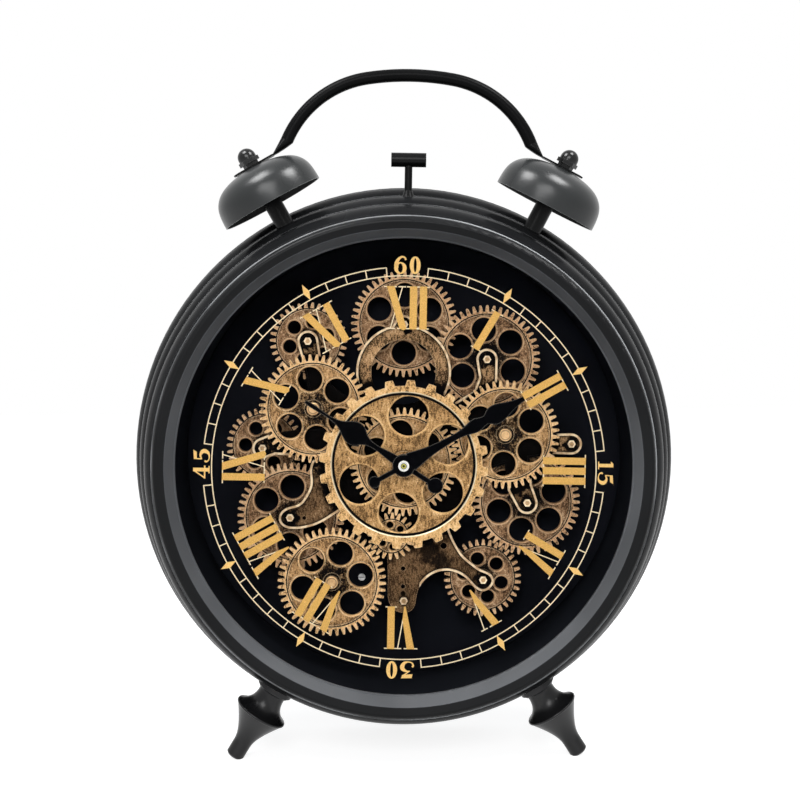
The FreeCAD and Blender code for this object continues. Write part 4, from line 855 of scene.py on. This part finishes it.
def ribbon(points, steps=7):
    """Return quads of a smooth stroke through (x, y, width) points."""
    fine = []
    count = len(points)
    for k in range(count - 1):
        p0, p1 = points[max(k - 1, 0)], points[k]
        p2, p3 = points[k + 1], points[min(k + 2, count - 1)]
        for s in range(steps + (k == count - 2)):
            t = s / steps
            fine.append([0.5 * (2 * b + (c - a) * t + (2 * a - 5 * b + 4 * c - d) * t * t
                                + (3 * b - a - 3 * c + d) * t ** 3)
                         for a, b, c, d in zip(p0, p1, p2, p3)])
    sides = []
    for k, (x, y, width) in enumerate(fine):
        ahead, behind = fine[min(k + 1, len(fine) - 1)], fine[max(k - 1, 0)]
        run = (ahead[0] - behind[0], ahead[1] - behind[1])
        length = math.hypot(*run) or 1.0
        across = (-run[1] / length * width / 2, run[0] / length * width / 2)
        sides.append(((x + across[0], y + across[1]), (x - across[0], y - across[1])))
    return [[a[0], a[1], b[1], b[0]] for a, b in zip(sides, sides[1:])]


def oval(cx, cy, outer, inner, count=28):
    """Return quads of an oval ring, thick at its sides and thin at top and bottom."""
    quads = []
    for k in range(count):
        corners = []
        for radii, turns in ((outer, (k, k + 1)), (inner, (k + 1, k))):
            for turn in turns:
                angle = 2 * math.pi * turn / count
                corners.append((cx + radii[0] * math.cos(angle), cy + radii[1] * math.sin(angle)))
        quads.append(corners)
    return quads


# Digits, in millimetres: (strokes, width), feet at height 0

DIGITS = {
    "0": (oval(4.1, 6.6, (4.1, 6.7), (1.1, 5.3)), 8.2),
    "1": ([block(1.8, 4.7, 0, 12.9), block(0, 6.5, 0, 0.9),
           [(1.8, 12.9), (0.0, 11.3), (0.0, 10.7), (1.8, 10.9)]], 6.5),
    "3": ([[(1.2, 9.6), (9.0, 10.2), (10.0, 12.9), (1.9, 12.6)]]
          + ribbon([(8.9, 11.3, 1.3), (6.2, 9.2, 0.8), (3.4, 7.2, 0.8)], 3)
          + ribbon([(3.2, 7.4, 0.8), (6.0, 7.4, 1.5), (8.6, 5.9, 2.9), (9.1, 3.7, 3.2),
                    (7.6, 1.3, 2.2), (5.0, 0.4, 1.0), (2.0, 1.0, 0.9), (0.9, 3.0, 1.5),
                    (1.7, 4.2, 1.2)]), 10.7),
    "4": ([block(5.6, 8.5, 0, 13.1), block(4.2, 10.0, 0, 0.9), block(0, 10.4, 3.3, 4.5),
           [(0.0, 3.9), (1.2, 3.9), (7.4, 13.1), (6.2, 13.1)]], 10.4),
    "5": ([[(2.7, 10.2), (8.4, 10.4), (10.2, 13.1), (2.7, 12.6)],
           [(2.4, 6.2), (3.3, 6.2), (3.6, 12.0), (2.7, 12.0)]]
          + ribbon([(2.7, 6.4, 0.9), (5.8, 7.4, 1.7), (8.6, 6.0, 2.9), (9.2, 3.8, 3.2),
                    (7.7, 1.3, 2.2), (5.0, 0.4, 1.0), (2.0, 1.0, 0.9), (0.8, 2.9, 1.5),
                    (1.6, 4.1, 1.2)]), 10.9),
    "6": (oval(4.7, 4.35, (4.7, 4.5), (1.8, 3.5))
          + ribbon([(1.7, 4.6, 3.2), (1.75, 8.0, 2.9), (3.2, 11.0, 2.1), (5.7, 12.8, 1.4),
                    (7.9, 12.2, 1.3), (8.7, 10.4, 1.4)]), 9.4),
}
DIGIT_R = 146.4
DIGIT_GAP = 2.3
# Clock angle, digits, size and shift to the right
MINUTE_WORDS = ((0, "60", 1.0, 0.0), (90, "15", 0.89, 1.2), (180, "30", 1.0, 0.0),
                (270, "45", 0.95, 0.7))


def minute_numbers():
    quads = []
    for angle, word, size, shift in MINUTE_WORDS:
        width = sum(DIGITS[digit][1] for digit in word) + DIGIT_GAP
        at = on_dial(angle, DIGIT_R)
        start = -width / 2
        for digit in word:
            strokes, advance = DIGITS[digit]
            quads += [[at(size * (start + x) + shift, size * y) for x, y in stroke]
                      for stroke in strokes]
            start += advance + DIGIT_GAP
    return quads


bold_strokes, fine_strokes = hour_numerals()
print_piece("minute_track", minute_track(), CREAM, UNDER_INK)
print_piece("five_minute_marks", diamonds(), MARK_GOLD_LIT)
print_piece("minute_numbers", minute_numbers(), MARK_GOLD_LIT)
print_piece("hour_numerals", bold_strokes, GOLD)
print_piece("hour_numeral_lines", fine_strokes, CREAM, UNDER_INK)


# Floor, light and camera

FLOOR_GREY = (0.4, 0.4, 0.4, 1)
FLOOR_GLOW = 0.86
LIGHT_TARGET = Vector((0.0, 0.0, 0.25))
# Name, direction, distance and size in metres, power in watts
LAMPS = (
    ("left", (-0.42, -0.27, 0.86), 1.4, (0.55, 0.55), 18.0),
    ("right", (0.45, -0.25, 0.85), 1.4, (0.5, 0.5), 16.0),
    ("front", (-0.10, -1.0, 0.50), 1.8, (1.0, 0.7), 15.0),
)


def seen_directly(tree):
    """Return 1 for what the camera sees, straight, mirrored or through glass."""
    path = add(tree, "LightPath").outputs
    either = calc(tree, "MAXIMUM", path["Is Camera Ray"], path["Is Glossy Ray"])
    return calc(tree, "MAXIMUM", either, path["Is Transmission Ray"])


def white_world():
    world = bpy.data.worlds.new("studio")
    world.use_nodes = True
    tree = world.node_tree
    tree.nodes.clear()
    direction = add(tree, "TexCoord").outputs["Generated"]
    up = add(tree, "SeparateXYZ", {0: direction}).outputs[2]
    level = fade(tree, up, 0.0, 0.9, 0.22, 0.45)
    soft = add(tree, "Background", {"Color": (0.93, 0.96, 1.0, 1), "Strength": level})
    plain = add(tree, "Background", {"Color": (1, 1, 1, 1), "Strength": 1.0})
    both = add(tree, "MixShader", {0: seen_directly(tree), 1: soft.outputs[0], 2: plain.outputs[0]})
    output = tree.nodes.new("ShaderNodeOutputWorld")
    tree.links.new(both.outputs[0], output.inputs[0])
    bpy.context.scene.world = world


def softbox(name, direction, distance, size, power):
    light = bpy.data.lights.new(name, "AREA")
    light.shape = "RECTANGLE"
    light.size, light.size_y = size
    light.energy = power
    made = bpy.data.objects.new(name, light)
    made.location = LIGHT_TARGET + Vector(direction).normalized() * distance
    made.rotation_euler = Vector(direction).to_track_quat("Z", "Y").to_euler()
    bpy.context.scene.collection.objects.link(made)


def pale_floor():
    shape = bmesh.new()
    bmesh.ops.create_grid(shape, x_segments=2, y_segments=2, size=3.0)
    mesh = bpy.data.meshes.new("floor")
    shape.to_mesh(mesh)
    shape.free()
    material, tree = new_material("floor_white")
    diffuse = add(tree, "BsdfDiffuse", {"Color": FLOOR_GREY})
    strength = calc(tree, "MULTIPLY", seen_directly(tree), FLOOR_GLOW)
    glow = add(tree, "Emission", {"Color": (1, 1, 1, 1), "Strength": strength})
    both = add(tree, "AddShader", {0: diffuse.outputs[0], 1: glow.outputs[0]})
    output = tree.nodes.new("ShaderNodeOutputMaterial")
    tree.links.new(both.outputs[0], output.inputs[0])
    mesh.materials.append(material)
    made = bpy.data.objects.new("floor", mesh)
    bpy.context.scene.collection.objects.link(made)


white_world()
pale_floor()
for lamp in LAMPS:
    softbox(*lamp)

# The camera stands 1 m in front of the bezel, above the axis, and is rolled a little
ROLL = math.radians(-0.6)
CAMERA_ABOVE_AXIS = 129.8
CAMERA_ASIDE = 0.2
CAMERA_DEPTH = -1000.0
IMAGE = 800.0
FOCAL_PIXELS = 1338.7
SHIFT_Y = -0.10
SHIFT_X = -0.005
AXIS_PIXEL_Y = 295.0

view = bpy.data.cameras.new("view")
view.sensor_width = 36.0
view.lens = FOCAL_PIXELS * view.sensor_width / IMAGE
view.shift_x = SHIFT_X
view.shift_y = SHIFT_Y
camera = bpy.data.objects.new("view", view)
camera.location = place(-CAMERA_ABOVE_AXIS * math.sin(ROLL) + CAMERA_ASIDE, CAMERA_DEPTH,
                        CAMERA_ABOVE_AXIS * math.cos(ROLL))
pitch = math.atan((IMAGE * (0.5 + SHIFT_Y) - AXIS_PIXEL_Y) / FOCAL_PIXELS)
camera.rotation_euler = (math.radians(90.0) - pitch, -ROLL, 0.0)
bpy.context.scene.collection.objects.link(camera)
bpy.context.scene.camera = camera
bpy.context.scene.view_settings.view_transform = "Standard"
